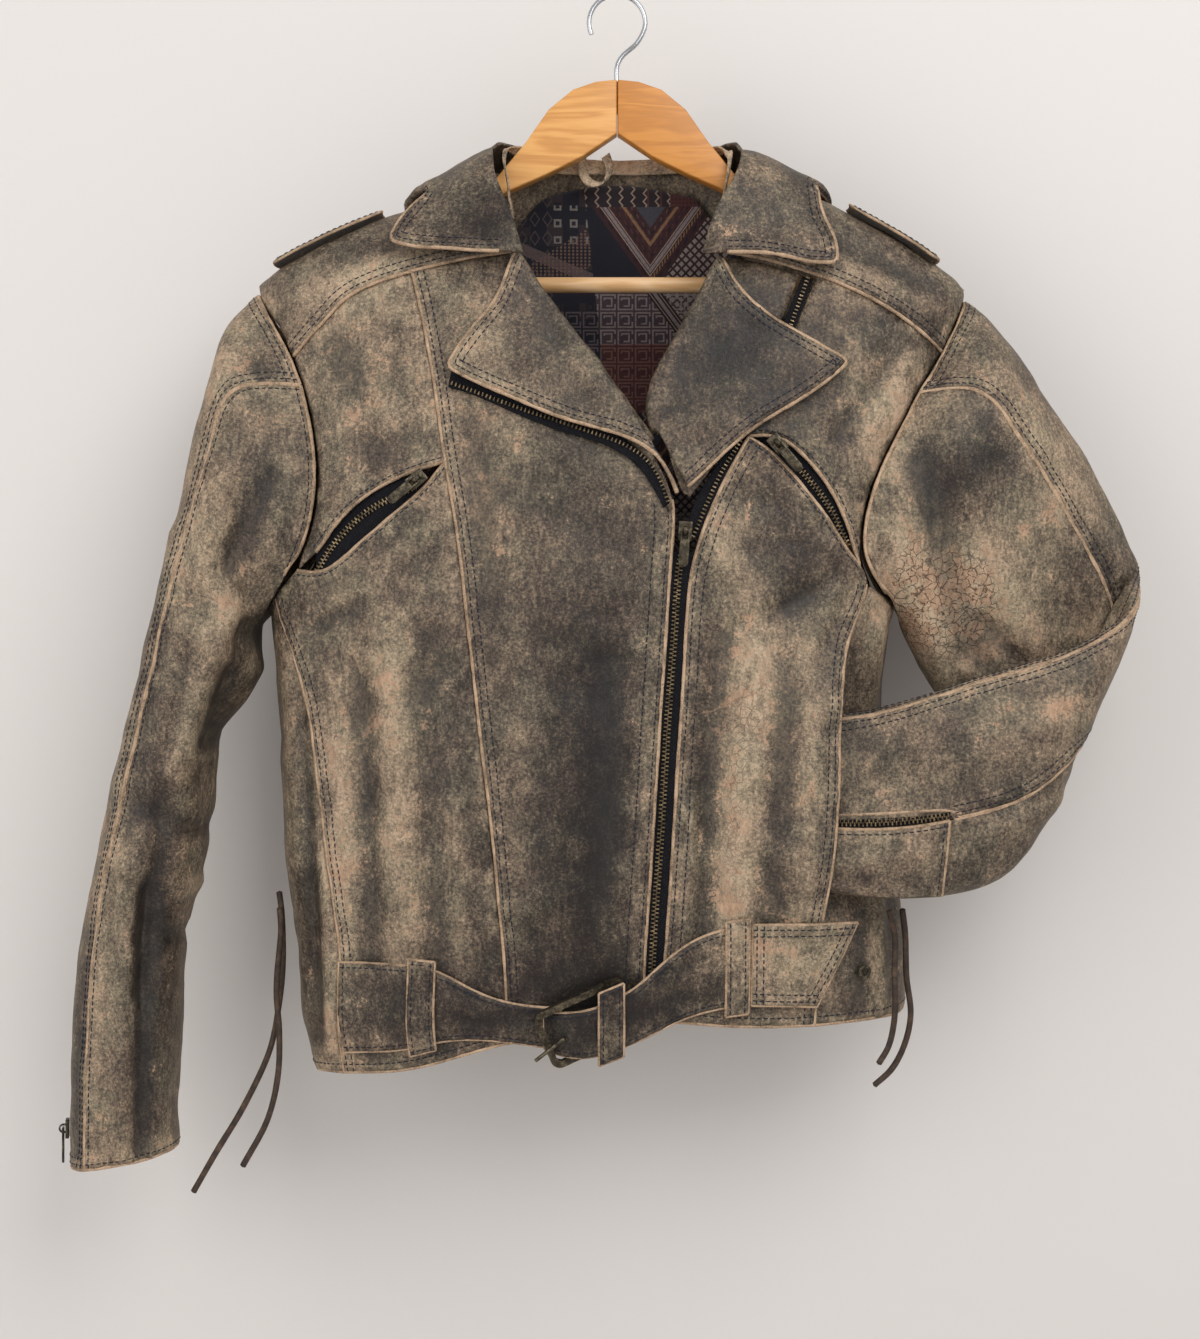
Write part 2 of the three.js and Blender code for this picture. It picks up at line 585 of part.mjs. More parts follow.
function collar() {
  const roll = at([-77, -58, -194], [-80, -47, -171], [-85, -26, -135], [-84, 0, -101], [-54, 31, -104], [0, 41, -106],
    [54, 31, -104], [84, 0, -101], [84, -24, -130], [79, -45, -160], [72, -59, -195]);
  const edge = at([-154, -50, -182], [-148, -34, -157], [-144, -8, -140], [-132, 34, -164], [-80, 54, -172],
    [0, 60, -175], [80, 54, -172], [132, 34, -164], [145, -10, -138], [149, -38, -168], [148, -55, -197]);
  const columns = 26;
  const top = stretch(roll, columns);
  const leaf = patch({
    bottom: stretch(edge, columns),
    top,
    left: stretch(at([-154, -50, -182], [-142, -54, -188], [-110, -58, -188], [-77, -58, -194]), 4),
    right: stretch(at([148, -55, -197], [138, -56, -200], [111, -58, -193], [87, -61, -191], [72, -59, -195]), 4),
  });
  const clear = leaf.map((row, j) => row.map((p) => outside(p, 8 + 1.5 * j)));
  freePiece('collar_leaf', clear, leather, darkHide, 1);

  const foot = stretch(at([-66, -40, -184], [-74, -27, -150], [-79, -15, -122], [-81, -8, -107], [-80, 0, -105.5],
    [-75, 8, -107], [-60, 16, -117], [0, 27, -119], [60, 16, -117], [75, 8, -107], [80, 0, -105.5], [81, -8, -107],
    [79, -15, -122], [74, -27, -150], [65, -40, -184]), columns);
  const axis = new THREE.Vector3(0, -8, 0);
  const head = top.map((p) => {
    const inward = axis.clone().sub(p).setZ(0).normalize();
    return p.clone().addScaledVector(inward, 9).add(new THREE.Vector3(0, 0, -2));
  });
  const stand = foot.map((p, i) => [0, 0.5, 1].map((t) => p.clone().lerp(head[i], t))).slice(2, columns - 1);
  freePiece('collar_stand', stand, 1.6, hide, 1);
}

function inside() {
  const depth = (p) => -5.5 - 6 * smooth(-210, -125, p.z);
  bodyPiece('lining_back', {
    bottom: stretch(backs([140, -430], [0, -432], [-140, -430]), 8),
    top: stretch(backs([58, -130], [0, -122], [-58, -130]), 8),
    left: stretch(backs([140, -430], [136, -260], [84, -168], [56, -131]), 8),
    right: stretch(backs([-140, -430], [-136, -260], [-84, -168], [-56, -131]), 8),
  }, { lift: depth, thickness: liningCloth, material: liningFabric });

  const loopLine = stretch(at([-24, 19, -106], [-25, 17, -118], [-18, 15, -128], [-8, 16, -126], [-5, 18, -114],
    [-8, 19, -106]), 10);
  const loopWidth = new THREE.Vector3(-2.6, -2, -2.2);
  freePiece('hang_loop', loopLine.map((p) => [p.clone().add(loopWidth), p.clone(), p.clone().sub(loopWidth)]), 1.2, hide);
}

// ---- belt and what is sewn on ------------------------------------------------------------------------------
function belt() {
  const flat = 1.6 + leather;
  const strap = (p) => flat + pocketLift(p);
  const overBuckle = (p) =>
    strap(p) + 3.2 * (1 - smooth(10, 40, p.x)) + 8.4 * smooth(-52, -34, p.x) * (1 - smooth(18, 48, p.x));
  bodyPiece('belt_right', {
    bottom: stretch(fronts([-185, -730], [-139, -726], [-120, -720], [-93, -718], [-57, -722], [-38, -725]), 9),
    top: stretch(fronts([-188, -668], [-141, -668], [-119, -671], [-106, -679], [-88, -688], [-66, -694], [-38, -696]), 9),
    left: stretch(fronts([-185, -730], [-188, -668]), 3),
    right: stretch(fronts([-38, -725], [-38, -696]), 3),
  }, { lift: strap, material: darkHide });
  bodyPiece('belt_left', {
    bottom: stretch(fronts([-50, -723], [-35, -726], [-14, -726], [7, -717], [39, -705], [67, -697], [86, -695]), 9),
    top: stretch(fronts([-50, -697], [-40, -697], [-14, -693], [-2, -687], [12, -679], [28, -665], [54, -648], [70, -643],
      [86, -641]), 9),
    left: stretch(fronts([-50, -723], [-50, -697]), 3),
    right: stretch(fronts([86, -695], [86, -641]), 3),
  }, { lift: overBuckle, material: darkHide });
  bodyPiece('belt_end', {
    bottom: stretch(fronts([88, -695], [133, -697]), 5),
    top: stretch(fronts([88, -640], [158, -640]), 5),
    left: stretch(fronts([88, -695], [88, -640]), 3),
    right: stretch(fronts([133, -697], [143, -677], [155, -652], [158, -640]), 3),
  }, { lift: (p) => strap(p) + 1 });
  const loops = [
    ['belt_loop_right', [-139, -121], [-663, -665], [-730, -725], (p) => flat + layer + pocketLift(p)],
    ['belt_loop_left', [71, 87], [-638, -636], [-702, -700], (p) => flat + layer + pocketLift(p)],
    ['belt_keeper', [-13, 4], [-682, -675], [-731, -724], (p) => overBuckle(p) + layer],
  ];
  for (const [name, [a, b], [topA, topB], [lowA, lowB], lift] of loops) {
    bodyPiece(name, {
      bottom: stretch(fronts([a, lowA], [b, lowB]), 2),
      top: stretch(fronts([a, topA], [b, topB]), 2),
      left: stretch(fronts([a, lowA], [a, topA]), 4),
      right: stretch(fronts([b, lowB], [b, topB]), 4),
    }, { lift });
  }
}

// A shoulder strap lies along the shoulder's ridge.
function epaulette(name, from, to, side) {
  const halfWidth = 16;
  const sideAt = side < 0 ? rightSide : leftSide;
  const grid = [];
  for (let j = 0; j <= 6; j += 1) {
    const z = THREE.MathUtils.lerp(from, to, j / 6);
    const pointed = j === 6 ? 0.55 : 1;
    const row = [-1, -0.5, 0, 0.5, 1].map((t) => onBody(new THREE.Vector3(sideAt(z), t * halfWidth * pointed, z), 5.2));
    grid.push(row);
  }
  const normals = grid.map((row) => row.map((p) => bodyNormal(p)));
  add(name, wallOf(grid, normals, leather), hide);
}

// ---- zips ----------------------------------------------------------------------------------------------
function zips() {
  const s = seams;
  const tapeLift = { lift: -0.4, thickness: 1, material: fabricTape };
  const centre = [[22, -709], [23, -661], [29, -569], [37, -451], [41, -403], [43, -392]];
  const centreLine = stretch(fronts(...centre), 14);
  bodyPiece('zip_tape_right', {
    bottom: stretch(fronts([17, -711], [22, -709]), 2),
    top: stretch(fronts([36, -392], [43, -392]), 2),
    left: stretch(fronts([17, -711], [18, -666], [25, -555], [30, -479], [35, -403], [36, -392]), 14),
    right: centreLine,
  }, tapeLift);
  bodyPiece('zip_tape_left', {
    bottom: stretch(fronts([22, -709], [28, -706]), 2),
    top: stretch(fronts([43, -392], [50, -392]), 2),
    left: centreLine,
    right: stretch(fronts([28, -706], [31, -661], [37, -569], [43, -477], [48, -403], [50, -392]), 14),
  }, tapeLift);
  bodyPiece('lapel_zip_left', {
    bottom: stretch(fronts([45, -378], [53, -385]), 2),
    top: stretch(fronts([125, -203], [134, -205]), 2),
    left: stretch(fronts([45, -378], [50, -358], [63, -338], [77, -315], [95, -277], [111, -237], [125, -203]), 9),
    right: stretch(fronts([53, -385], [72, -341], [87, -315], [105, -277], [121, -237], [134, -205]), 9),
  }, tapeLift);
  bodyPiece('lapel_zip_right', {
    bottom: stretch(fronts([-114, -282], [-105, -284], [-74, -298], [-41, -312], [-9, -321], [6, -329], [17, -340],
      [30, -364]), 10),
    top: stretch(fronts([-112, -271], [-102, -273], [-71, -286], [-37, -300], [-8, -311], [10, -320], [23, -333],
      [36, -360]), 10),
    left: stretch(fronts([-114, -282], [-112, -271]), 2),
    right: stretch(fronts([30, -364], [36, -360]), 2),
  }, { lift: 2.4, thickness: 1, material: fabricTape });

  const sunkTape = { lift: -2.9, thickness: 1, material: fabricTape };
  bodyPiece('pocket_zip_right', {
    bottom: stretch(fronts([-205, -412], [-178, -396], [-152, -375], [-126, -353]), 5),
    top: stretch(fronts([-206, -388], [-189, -364], [-162, -344], [-130, -332]), 5),
    left: stretch(fronts([-205, -412], [-206, -388]), 2),
    right: stretch(fronts([-126, -353], [-130, -332]), 2),
  }, sunkTape);
  bodyPiece('pocket_zip_left', {
    bottom: stretch(fronts([95, -325], [117, -347], [138, -373], [152, -396]), 5),
    top: stretch(fronts([101, -308], [130, -325], [149, -348], [160, -380]), 5),
    left: stretch(fronts([95, -325], [101, -308]), 2),
    right: stretch(fronts([152, -396], [160, -380]), 2),
  }, sunkTape);
}

// A solid of a shape drawn in the plane, with its thickness centred.
function slab(shape, thickness, curveSegments = 8) {
  const geometry = new THREE.ExtrudeGeometry(shape, { depth: thickness, bevelEnabled: false, curveSegments });
  return geometry.translate(0, 0, -thickness / 2);
}

function solid(geometry) {
  const bare = geometry.clone();
  bare.deleteAttribute('normal');
  bare.deleteAttribute('uv');
  const merged = mergeVertices(bare, 1e-4);
  return new wasm.Manifold(new wasm.Mesh({
    numProp: 3,
    vertProperties: merged.attributes.position.array,
    triVerts: new Uint32Array(merged.index.array),
  }));
}

function geometryOf(manifold) {
  const mesh = manifold.getMesh();
  const geometry = new THREE.BufferGeometry();
  geometry.setAttribute('position', new THREE.Float32BufferAttribute(mesh.vertProperties, 3));
  geometry.setIndex([...mesh.triVerts]);
  geometry.computeVertexNormals();
  return geometry;
}

// A slider's plate with the bridge that carries the pull. X is across the zip, Z along it, -Y out of the cloth.
const plate = { width: 9, length: 13, thickness: 2.4 };
const bridge = { inner: 2, outer: 3.2, width: 2.4, leg: 1.6 };
const pullRise = plate.thickness + 1.7;   // the pull's pin above the plate's back
const pull = { width: 6.4, length: 24, thickness: 1.4, slot: 3.6, pin: 1.6, slotLength: 4.6 };

function sliderGeometry() {
  const base = new THREE.BoxGeometry(plate.width, plate.thickness, plate.length).translate(0, -plate.thickness / 2, 0);
  const { inner, outer, width, leg } = bridge;
  const arch = new THREE.Shape();
  arch.moveTo(-outer, -0.3);
  arch.lineTo(-outer, leg);
  arch.absarc(0, leg, outer, Math.PI, 0, true);
  arch.lineTo(outer, -0.3);
  arch.lineTo(inner, -0.3);
  arch.lineTo(inner, leg);
  arch.absarc(0, leg, inner, 0, Math.PI, false);
  arch.lineTo(-inner, -0.3);
  arch.closePath();
  const hoop = slab(arch, width).rotateY(Math.PI / 2).rotateX(Math.PI).translate(0, -plate.thickness, 0);
  return geometryOf(solid(base).add(solid(hoop)));
}

function pullGeometry() {
  const half = pull.width / 2;
  const top = pull.pin / 2;
  const outline = new THREE.Shape();
  outline.moveTo(-half, top);
  outline.lineTo(-half, -pull.length + half);
  outline.absarc(0, -pull.length + half, half, Math.PI, 2 * Math.PI, false);
  outline.lineTo(half, top);
  outline.closePath();
  const slot = new THREE.Path();
  slot.moveTo(-pull.slot / 2, -top);
  slot.lineTo(pull.slot / 2, -top);
  slot.lineTo(pull.slot / 2, -top - pull.slotLength);
  slot.lineTo(-pull.slot / 2, -top - pull.slotLength);
  slot.closePath();
  outline.holes.push(slot);
  return slab(outline, pull.thickness).rotateX(Math.PI / 2);
}

// A slider and its pull on the cloth at a place, turned in the cloth's plane. The pull hangs along the zip.
function zipPull(sliderName, pullName, place, turn, face = 0) {
  const slider = add(sliderName, sliderGeometry(), antique);
  const tab = add(pullName, pullGeometry(), antique);
  const out = new THREE.Vector3(Math.sin(face), -Math.cos(face), 0);
  slider.position.copy(place);
  tab.position.copy(place).addScaledVector(out, pullRise);
  for (const piece of [slider, tab]) {
    piece.rotation.order = 'ZYX';
    piece.rotation.set(0, turn, face);
  }
}

function sliders() {
  zipPull('zip_slider', 'zip_pull', onBody(onFront([44.5, -379]), 3), THREE.MathUtils.degToRad(4));
  zipPull('pocket_slider_right', 'pocket_pull_right', onBody(onFront([-134, -344]), 2.6), THREE.MathUtils.degToRad(50));
  zipPull('pocket_slider_left', 'pocket_pull_left', onBody(onFront([106, -320]), 3), THREE.MathUtils.degToRad(-40));
  zipPull('cuff_slider_right', 'cuff_pull_right', new THREE.Vector3(-381.6, -8, -790), 0, THREE.MathUtils.degToRad(-80));
}

// ---- buckle, eyelet and laces --------------------------------------------------------------------------------
function buckle() {
  const [width, height, bar, thick, corner] = [66, 42, 4.6, 3.6, 7];
  const rounded = (w, h, r) => {
    const shape = new THREE.Shape();
    shape.moveTo(w / 2, h / 2 - r);
    shape.absarc(w / 2 - r, h / 2 - r, r, 0, Math.PI / 2);
    shape.absarc(-w / 2 + r, h / 2 - r, r, Math.PI / 2, Math.PI);
    shape.absarc(-w / 2 + r, -h / 2 + r, r, Math.PI, 1.5 * Math.PI);
    shape.absarc(w / 2 - r, -h / 2 + r, r, 1.5 * Math.PI, 2 * Math.PI);
    return shape;
  };
  const outline = rounded(width, height, corner);
  outline.holes.push(rounded(width - 2 * bar, height - 2 * bar, corner - bar + 1));
  const frame = add('belt_buckle', slab(outline, thick, 5), antique);
  const centre = onFront([-20, -705]);
  frame.geometry.rotateX(Math.PI / 2);
  frame.rotation.order = 'YZX';
  frame.rotation.set(THREE.MathUtils.degToRad(14), THREE.MathUtils.degToRad(-24), THREE.MathUtils.degToRad(6));
  frame.position.set(centre.x, centre.y - 8.6, centre.z);

  const from = onBody(onFront([-36, -712]), 15.4);
  const to = onBody(onFront([-54, -723]), 25.5);
  const prong = add('buckle_prong', new THREE.CylinderGeometry(1.3, 1.5, from.distanceTo(to), 8), antique);
  prong.position.copy(from).add(to).multiplyScalar(0.5);
  prong.quaternion.setFromUnitVectors(new THREE.Vector3(0, 1, 0), to.clone().sub(from).normalize());
}

function eyelet() {
  const outline = new THREE.Shape().absarc(0, 0, 5, 0, 2 * Math.PI);
  outline.holes.push(new THREE.Path().absarc(0, 0, 2.6, 0, 2 * Math.PI));
  const ring = add('eyelet', slab(outline, 1.4, 16), antique);
  const surface = onFront([166, -675]);
  const normal = bodyNormal(surface);
  ring.position.copy(onBody(surface, 1.3));
  ring.quaternion.setFromUnitVectors(new THREE.Vector3(0, 0, 1), normal);
}

function cord(name, points, radius, material, steps, sides = 8) {
  const shape = new THREE.Shape().absarc(0, 0, radius, 0, 2 * Math.PI);
  const path = new THREE.CatmullRomCurve3(at(...points), false, 'centripetal');
  add(name, new THREE.ExtrudeGeometry(shape, { steps, extrudePath: path, curveSegments: sides, bevelEnabled: false }), material);
}

const lacePaths = {
  lace_right_a: [[-236, -4, -626], [-234, -6, -640], [-233, -7, -677], [-236, -8, -707], [-242, -9, -736],
    [-260, -11, -775], [-278, -13, -805], [-294, -14, -833]],
  lace_right_b: [[-234, -15, -636], [-233, -16, -650], [-236, -17, -692], [-234, -17, -722], [-235, -17, -752],
    [-242, -18, -782], [-259, -19, -814]],
  lace_left_a: [[184, -48, -634], [188, -47, -651], [188, -46, -675], [188, -46, -706], [184, -46, -726],
    [177, -47, -738]],
  lace_left_b: [[194, -40, -634], [196, -40, -651], [197, -39, -680], [200, -38, -706], [196, -38, -726],
    [187, -39, -743], [175, -40, -754]],
};

function laces() {
  for (const [name, points] of Object.entries(lacePaths)) cord(name, points, laceSize / 2, thong, 3 * points.length, 4);
}

// ---- hanger ----------------------------------------------------------------------------------------------------
function hanger() {
  const top = [[-0.2, -59], [-15, -60.5], [-31, -66], [-48, -80], [-64, -103], [-86, -129.5], [-120, -147], [-160, -165],
    [-188, -177], [-201, -185]];
  const under = [[-204, -200], [-198, -211], [-186, -209.5], [-172, -189], [-150, -172], [-120, -157], [-84, -141],
    [-48, -125], [-24, -113], [-0.2, -97]];
  const outline = new THREE.Shape([...top, ...under].map(([x, z]) => new THREE.Vector2(x, z)));
  const bevel = { bevelThickness: 2.2, bevelSize: 1, bevelOffset: -1, bevelSegments: 2 };
  const blank = new THREE.ExtrudeGeometry(outline, { depth: 8.6, bevelEnabled: true, curveSegments: 1, ...bevel });
  const arm = solid(blank.translate(0, 0, -4.3).rotateX(Math.PI / 2));
  const socket = solid(new THREE.CylinderGeometry(barRadius + 0.4, barRadius + 0.4, 140, 20)
    .rotateZ(Math.PI / 2).translate(-124, 0, barLevel));
  const stem = solid(new THREE.CylinderGeometry(hookWire / 2 + 0.4, hookWire / 2 + 0.4, 40, 12)
    .rotateX(Math.PI / 2).translate(0, 0, -64));
  const half = geometryOf(arm.subtract(socket).subtract(stem));
  add('hanger_half_right', half, palePine);
  const mirrored = half.clone().scale(-1, 1, 1);
  add('hanger_half_left', faceOut(mirrored), pine);
  const bar = add('hanger_bar', new THREE.CylinderGeometry(barRadius, barRadius, 386, 20), palePine);
  bar.rotation.z = Math.PI / 2;
  bar.position.z = barLevel;

  const r = hookBend + hookWire / 2;
  const bend = [];
  for (let k = 0; k <= 12; k += 1) {
    const a = THREE.MathUtils.degToRad(-8 + (k * 212) / 12);
    bend.push([r * Math.cos(a), 0, -hookBend + r * Math.sin(a)]);
  }
  cord('hanger_hook', [[0, 0, -82], [0, 0, -66], [0, 0, -48], [4, 0, -41], [14, 0, -32], ...bend], hookWire / 2, steel, 36, 5);
}

bodyPieces();
sleeves();
lapels();
collar();
inside();
belt();
epaulette('epaulette_right', -190, -156, -1);
epaulette('epaulette_left', -188, -151, 1);
zips();
sliders();
buckle();
eyelet();
laces();
hanger();

export default coat;
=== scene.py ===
import bpy
import bmesh
import math
import numpy as np
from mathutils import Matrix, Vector, noise
from mathutils.bvhtree import BVHTree
from mathutils.kdtree import KDTree


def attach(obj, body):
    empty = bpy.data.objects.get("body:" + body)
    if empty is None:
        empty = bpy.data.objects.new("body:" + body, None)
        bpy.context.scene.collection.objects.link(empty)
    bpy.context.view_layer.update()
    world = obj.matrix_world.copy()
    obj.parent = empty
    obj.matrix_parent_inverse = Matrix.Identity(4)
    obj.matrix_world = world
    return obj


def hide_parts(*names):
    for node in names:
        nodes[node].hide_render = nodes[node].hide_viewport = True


# Worn leather coat on a wooden hanger. Lengths are in metres, and the tables of places are in millimetres.
# "right" is the wearer's right, at -X. The coat's front faces -Y.
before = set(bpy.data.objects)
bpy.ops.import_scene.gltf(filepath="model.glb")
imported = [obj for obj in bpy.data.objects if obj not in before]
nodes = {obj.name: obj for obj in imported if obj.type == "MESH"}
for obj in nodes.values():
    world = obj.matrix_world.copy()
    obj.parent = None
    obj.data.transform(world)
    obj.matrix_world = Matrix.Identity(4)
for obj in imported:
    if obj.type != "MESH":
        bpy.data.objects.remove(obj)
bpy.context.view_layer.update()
coatBody = "coat_on_hanger"
mm = 0.001
print("frame loaded:", len(nodes), "nodes")


def deselectAll():
    for o in bpy.context.selected_objects:
        o.select_set(False)
    bpy.context.view_layer.objects.active = None


def choose(o):
    deselectAll()
    o.select_set(True)
    bpy.context.view_layer.objects.active = o


# ---- camera and light ----
studio = {
    "cameraPlace": (-0.012, -1.5, -0.4707), "lens": 57.6, "sensor": 36,
    "wallDepth": 0.105, "floorLevel": -1.12, "stageSize": 9, "lightAim": (0, 0, -0.42),
    "keyPower": 21, "keyPlace": (0.75, -1.5, 0.75), "keySize": 1.3,
    "fillPower": 13, "fillPlace": (-1.5, -1.5, -0.1), "fillSize": 1.6,
    "worldLight": 0.62, "worldColour": (0.93, 0.94, 0.97, 1),
}


def areaLight(name, place, size, power):
    light = bpy.data.lights.new(name, "AREA")
    light.size = size
    light.energy = power
    o = bpy.data.objects.new(name, light)
    o.location = place
    o.rotation_euler = (Vector(studio["lightAim"]) - Vector(place)).to_track_quat("-Z", "Y").to_euler()
    bpy.context.scene.collection.objects.link(o)


deselectAll()
bpy.ops.object.camera_add(location=studio["cameraPlace"], rotation=(math.pi / 2, 0, 0))
camera = bpy.context.object
camera.data.lens = studio["lens"]
camera.data.sensor_width = studio["sensor"]
bpy.context.scene.camera = camera
areaLight("keyLight", studio["keyPlace"], studio["keySize"], studio["keyPower"])
areaLight("fillLight", studio["fillPlace"], studio["fillSize"], studio["fillPower"])
world = bpy.data.worlds.new("softRoom")
world.use_nodes = True
background = world.node_tree.nodes["Background"]
background.inputs["Color"].default_value = studio["worldColour"]
background.inputs["Strength"].default_value = studio["worldLight"]
bpy.context.scene.world = world
bpy.context.scene.view_settings.view_transform = "Standard"


# ---- shader maths ----
def linear(code):
    parts = [int(code[k:k + 2], 16) / 255 for k in (1, 3, 5)]
    return tuple(c / 12.92 if c <= 0.04045 else ((c + 0.055) / 1.055) ** 2.4 for c in parts) + (1.0,)


class Sock:
    # A shader socket that Python's operators work on.
    def __init__(self, board, socket):
        self.board = board
        self.socket = socket

    def maths(self, operation, *others):
        return self.board.node("ShaderNodeMath", {"operation": operation}, dict(enumerate((self, *others))))

    def __add__(self, other):
        return self.maths("ADD", other)

    def __sub__(self, other):
        return self.maths("SUBTRACT", other)

    def __rsub__(self, other):
        return self * -1 + other

    def __mul__(self, other):
        return self.maths("MULTIPLY", other)

    def __truediv__(self, other):
        return self.maths("DIVIDE", other)

    def __gt__(self, other):
        return self.maths("GREATER_THAN", other)

    def __lt__(self, other):
        return self.maths("LESS_THAN", other)

    def abs(self):
        return self.maths("ABSOLUTE")

    def fract(self):
        return self.maths("FRACT")

    def sine(self):
        return self.maths("SINE")

    def highest(self, other):
        return self.maths("MAXIMUM", other)

    def modulo(self, other):
        return self.maths("FLOORED_MODULO", other)

    def between(self, low, high, start=0.0, end=1.0):
        return self.board.node("ShaderNodeMapRange", {"interpolation_type": "SMOOTHSTEP"}, {
            "Value": self, "From Min": low, "From Max": high, "To Min": start, "To Max": end})


class Board:
    # The nodes of one material.
    sockets = {"color": "Base Color", "rough": "Roughness", "metal": "Metallic", "normal": "Normal",
               "shine": "Specular IOR Level", "coat": "Coat Weight", "coatRough": "Coat Roughness",
               "sheen": "Sheen Weight", "sheenRough": "Sheen Roughness"}

    def __init__(self, name):
        self.material = bpy.data.materials.new(name)
        self.material.use_nodes = True
        self.tree = self.material.node_tree
        self.shader = self.tree.nodes["Principled BSDF"]

    def node(self, kind, settings=None, values=None, out=0):
        made = self.tree.nodes.new(kind)
        for key, value in (settings or {}).items():
            setattr(made, key, value)
        for key, value in (values or {}).items():
            if isinstance(value, Sock):
                self.tree.links.new(value.socket, made.inputs[key])
            else:
                made.inputs[key].default_value = value
        return Sock(self, made.outputs[out])

    def place(self):
        return self.node("ShaderNodeTexCoord", out="Object")

    def attribute(self, name):
        return self.node("ShaderNodeAttribute", {"attribute_name": name}, out="Fac")

    def turned(self, place, angles=(0, 0, 0), stretch=(1, 1, 1)):
        return self.node("ShaderNodeMapping", {}, {"Vector": place, "Rotation": angles, "Scale": stretch})

    def noise(self, place, scale, detail=2.0, rough=0.5, twist=0.0):
        return self.node("ShaderNodeTexNoise", {}, {
            "Vector": place, "Scale": scale, "Detail": detail, "Roughness": rough, "Distortion": twist})

    def cells(self, place, scale, feature):
        return self.node("ShaderNodeTexVoronoi", {"feature": feature}, {"Vector": place, "Scale": scale})

    def ramp(self, value, *stops):
        made = self.node("ShaderNodeValToRGB", {}, {"Fac": value})
        elements = made.socket.node.color_ramp.elements
        while len(elements) < len(stops):
            elements.new(0.5)
        for element, (place, code) in zip(elements, stops):
            element.position = place
        for element, (place, code) in zip(elements, stops):
            element.color = linear(code)
        return made

    def mix(self, share, a, b):
        a, b = [linear(c) if isinstance(c, str) else c for c in (a, b)]
        return self.node("ShaderNodeMix", {"data_type": "RGBA"}, {0: share, 6: a, 7: b}, out=2)

    def split(self, vector):
        made = self.node("ShaderNodeSeparateXYZ", {}, {0: vector})
        return [Sock(self, made.socket.node.outputs[k]) for k in range(3)]

    def bump(self, height, depth, strength=1.0, under=None):
        values = {"Height": height, "Distance": depth, "Strength": strength}
        if under:
            values["Normal"] = under
        return self.node("ShaderNodeBump", {}, values)

    def finish(self, **inputs):
        for key, value in inputs.items():
            socket = self.shader.inputs[self.sockets[key]]
            if isinstance(value, Sock):
                self.tree.links.new(value.socket, socket)
            else:
                socket.default_value = linear(value) if isinstance(value, str) else value
        return self.material


# ---- stage ----
def plainStage(name, place, turn, colour):
    deselectAll()
    bpy.ops.mesh.primitive_plane_add(size=studio["stageSize"], location=place, rotation=turn)
    o = bpy.context.object
    o.name = name
    bpy.ops.object.transform_apply(location=True, rotation=True, scale=True)
    board = Board(name + "Paint")
    o.data.materials.append(board.finish(color=colour, rough=0.9, shine=0.2))
    return board


def oneSided(board):
    # clear from behind, so that the back of the coat can be seen through the wall
    clear = board.node("ShaderNodeBsdfTransparent")
    behind = board.node("ShaderNodeNewGeometry", out="Backfacing")
    choice = board.tree.nodes.new("ShaderNodeMixShader")
    surface = board.tree.nodes["Material Output"].inputs["Surface"]
    for start, end in ((behind.socket, choice.inputs[0]), (board.shader.outputs[0], choice.inputs[1]),
                       (clear.socket, choice.inputs[2]), (choice.outputs[0], surface)):
        board.tree.links.new(start, end)


plainStage("paleFloor", (0, 0, studio["floorLevel"]), (0, 0, 0), "#e6e3e1")
oneSided(plainStage("paleWall", (0, studio["wallDepth"], 0), (math.pi / 2, 0, 0), "#dfdad5"))
print("stage and lights made")


# ---- lines, meshes and sheets ----
def unit(rows):
    return rows / (np.linalg.norm(rows, axis=-1, keepdims=True) + 1e-12)


def evenly(points, count):
    line = np.array([tuple(q) for q in points])
    along = np.concatenate([[0], np.cumsum(np.linalg.norm(np.diff(line, axis=0), axis=1))])
    at = np.linspace(0, along[-1], count)
    return np.stack([np.interp(at, along, line[:, k]) for k in range(3)], axis=1)


def smoothLine(points, count, steps=24):
    # a curve through places in millimetres, as evenly spaced points in metres
    p = [Vector(q) * mm for q in points]
    p = [p[0] * 2 - p[1]] + p + [p[-1] * 2 - p[-2]]
    fine = []
    for k in range(1, len(p) - 2):
        knots = [0.0]
        for a in range(3):
            knots.append(knots[-1] + max((p[k + a] - p[k + a - 1]).length, 1e-6) ** 0.5)

        def blend(a, b, first, last, t):
            return a.lerp(b, (t - knots[first]) / (knots[last] - knots[first]))

        for s in range(steps):
            t = knots[1] + (knots[2] - knots[1]) * s / steps
            a1 = blend(p[k - 1], p[k], 0, 1, t)
            a2 = blend(p[k], p[k + 1], 1, 2, t)
            a3 = blend(p[k + 1], p[k + 2], 2, 3, t)
            fine.append(blend(blend(a1, a2, 0, 2, t), blend(a2, a3, 1, 3, t), 1, 2, t))
    fine.append(p[-2])
    return evenly(fine, count)


def softened(rows, rounds):
    # each row but the first and last drawn towards its neighbours
    for _ in range(rounds):
        rows[1:-1] = (rows[:-2] + rows[1:-1] * 2 + rows[2:]) / 4
    return rows


def lineLength(line):
    return float(np.linalg.norm(np.diff(np.asarray(line), axis=0), axis=1).sum())


def linked(name, data):
    o = bpy.data.objects.new(name, data)
    bpy.context.scene.collection.objects.link(o)
    return o


def shadeSmooth(data):
    data.polygons.foreach_set("use_smooth", [True] * len(data.polygons))


def meshOf(name, points, faces, material, smooth=True):
    data = bpy.data.meshes.new(name)
    data.from_pydata([tuple(p) for p in points], [], [tuple(f) for f in faces])
    data.validate()
    if smooth:
        shadeSmooth(data)
    data.materials.append(material)
    return linked(name, data)


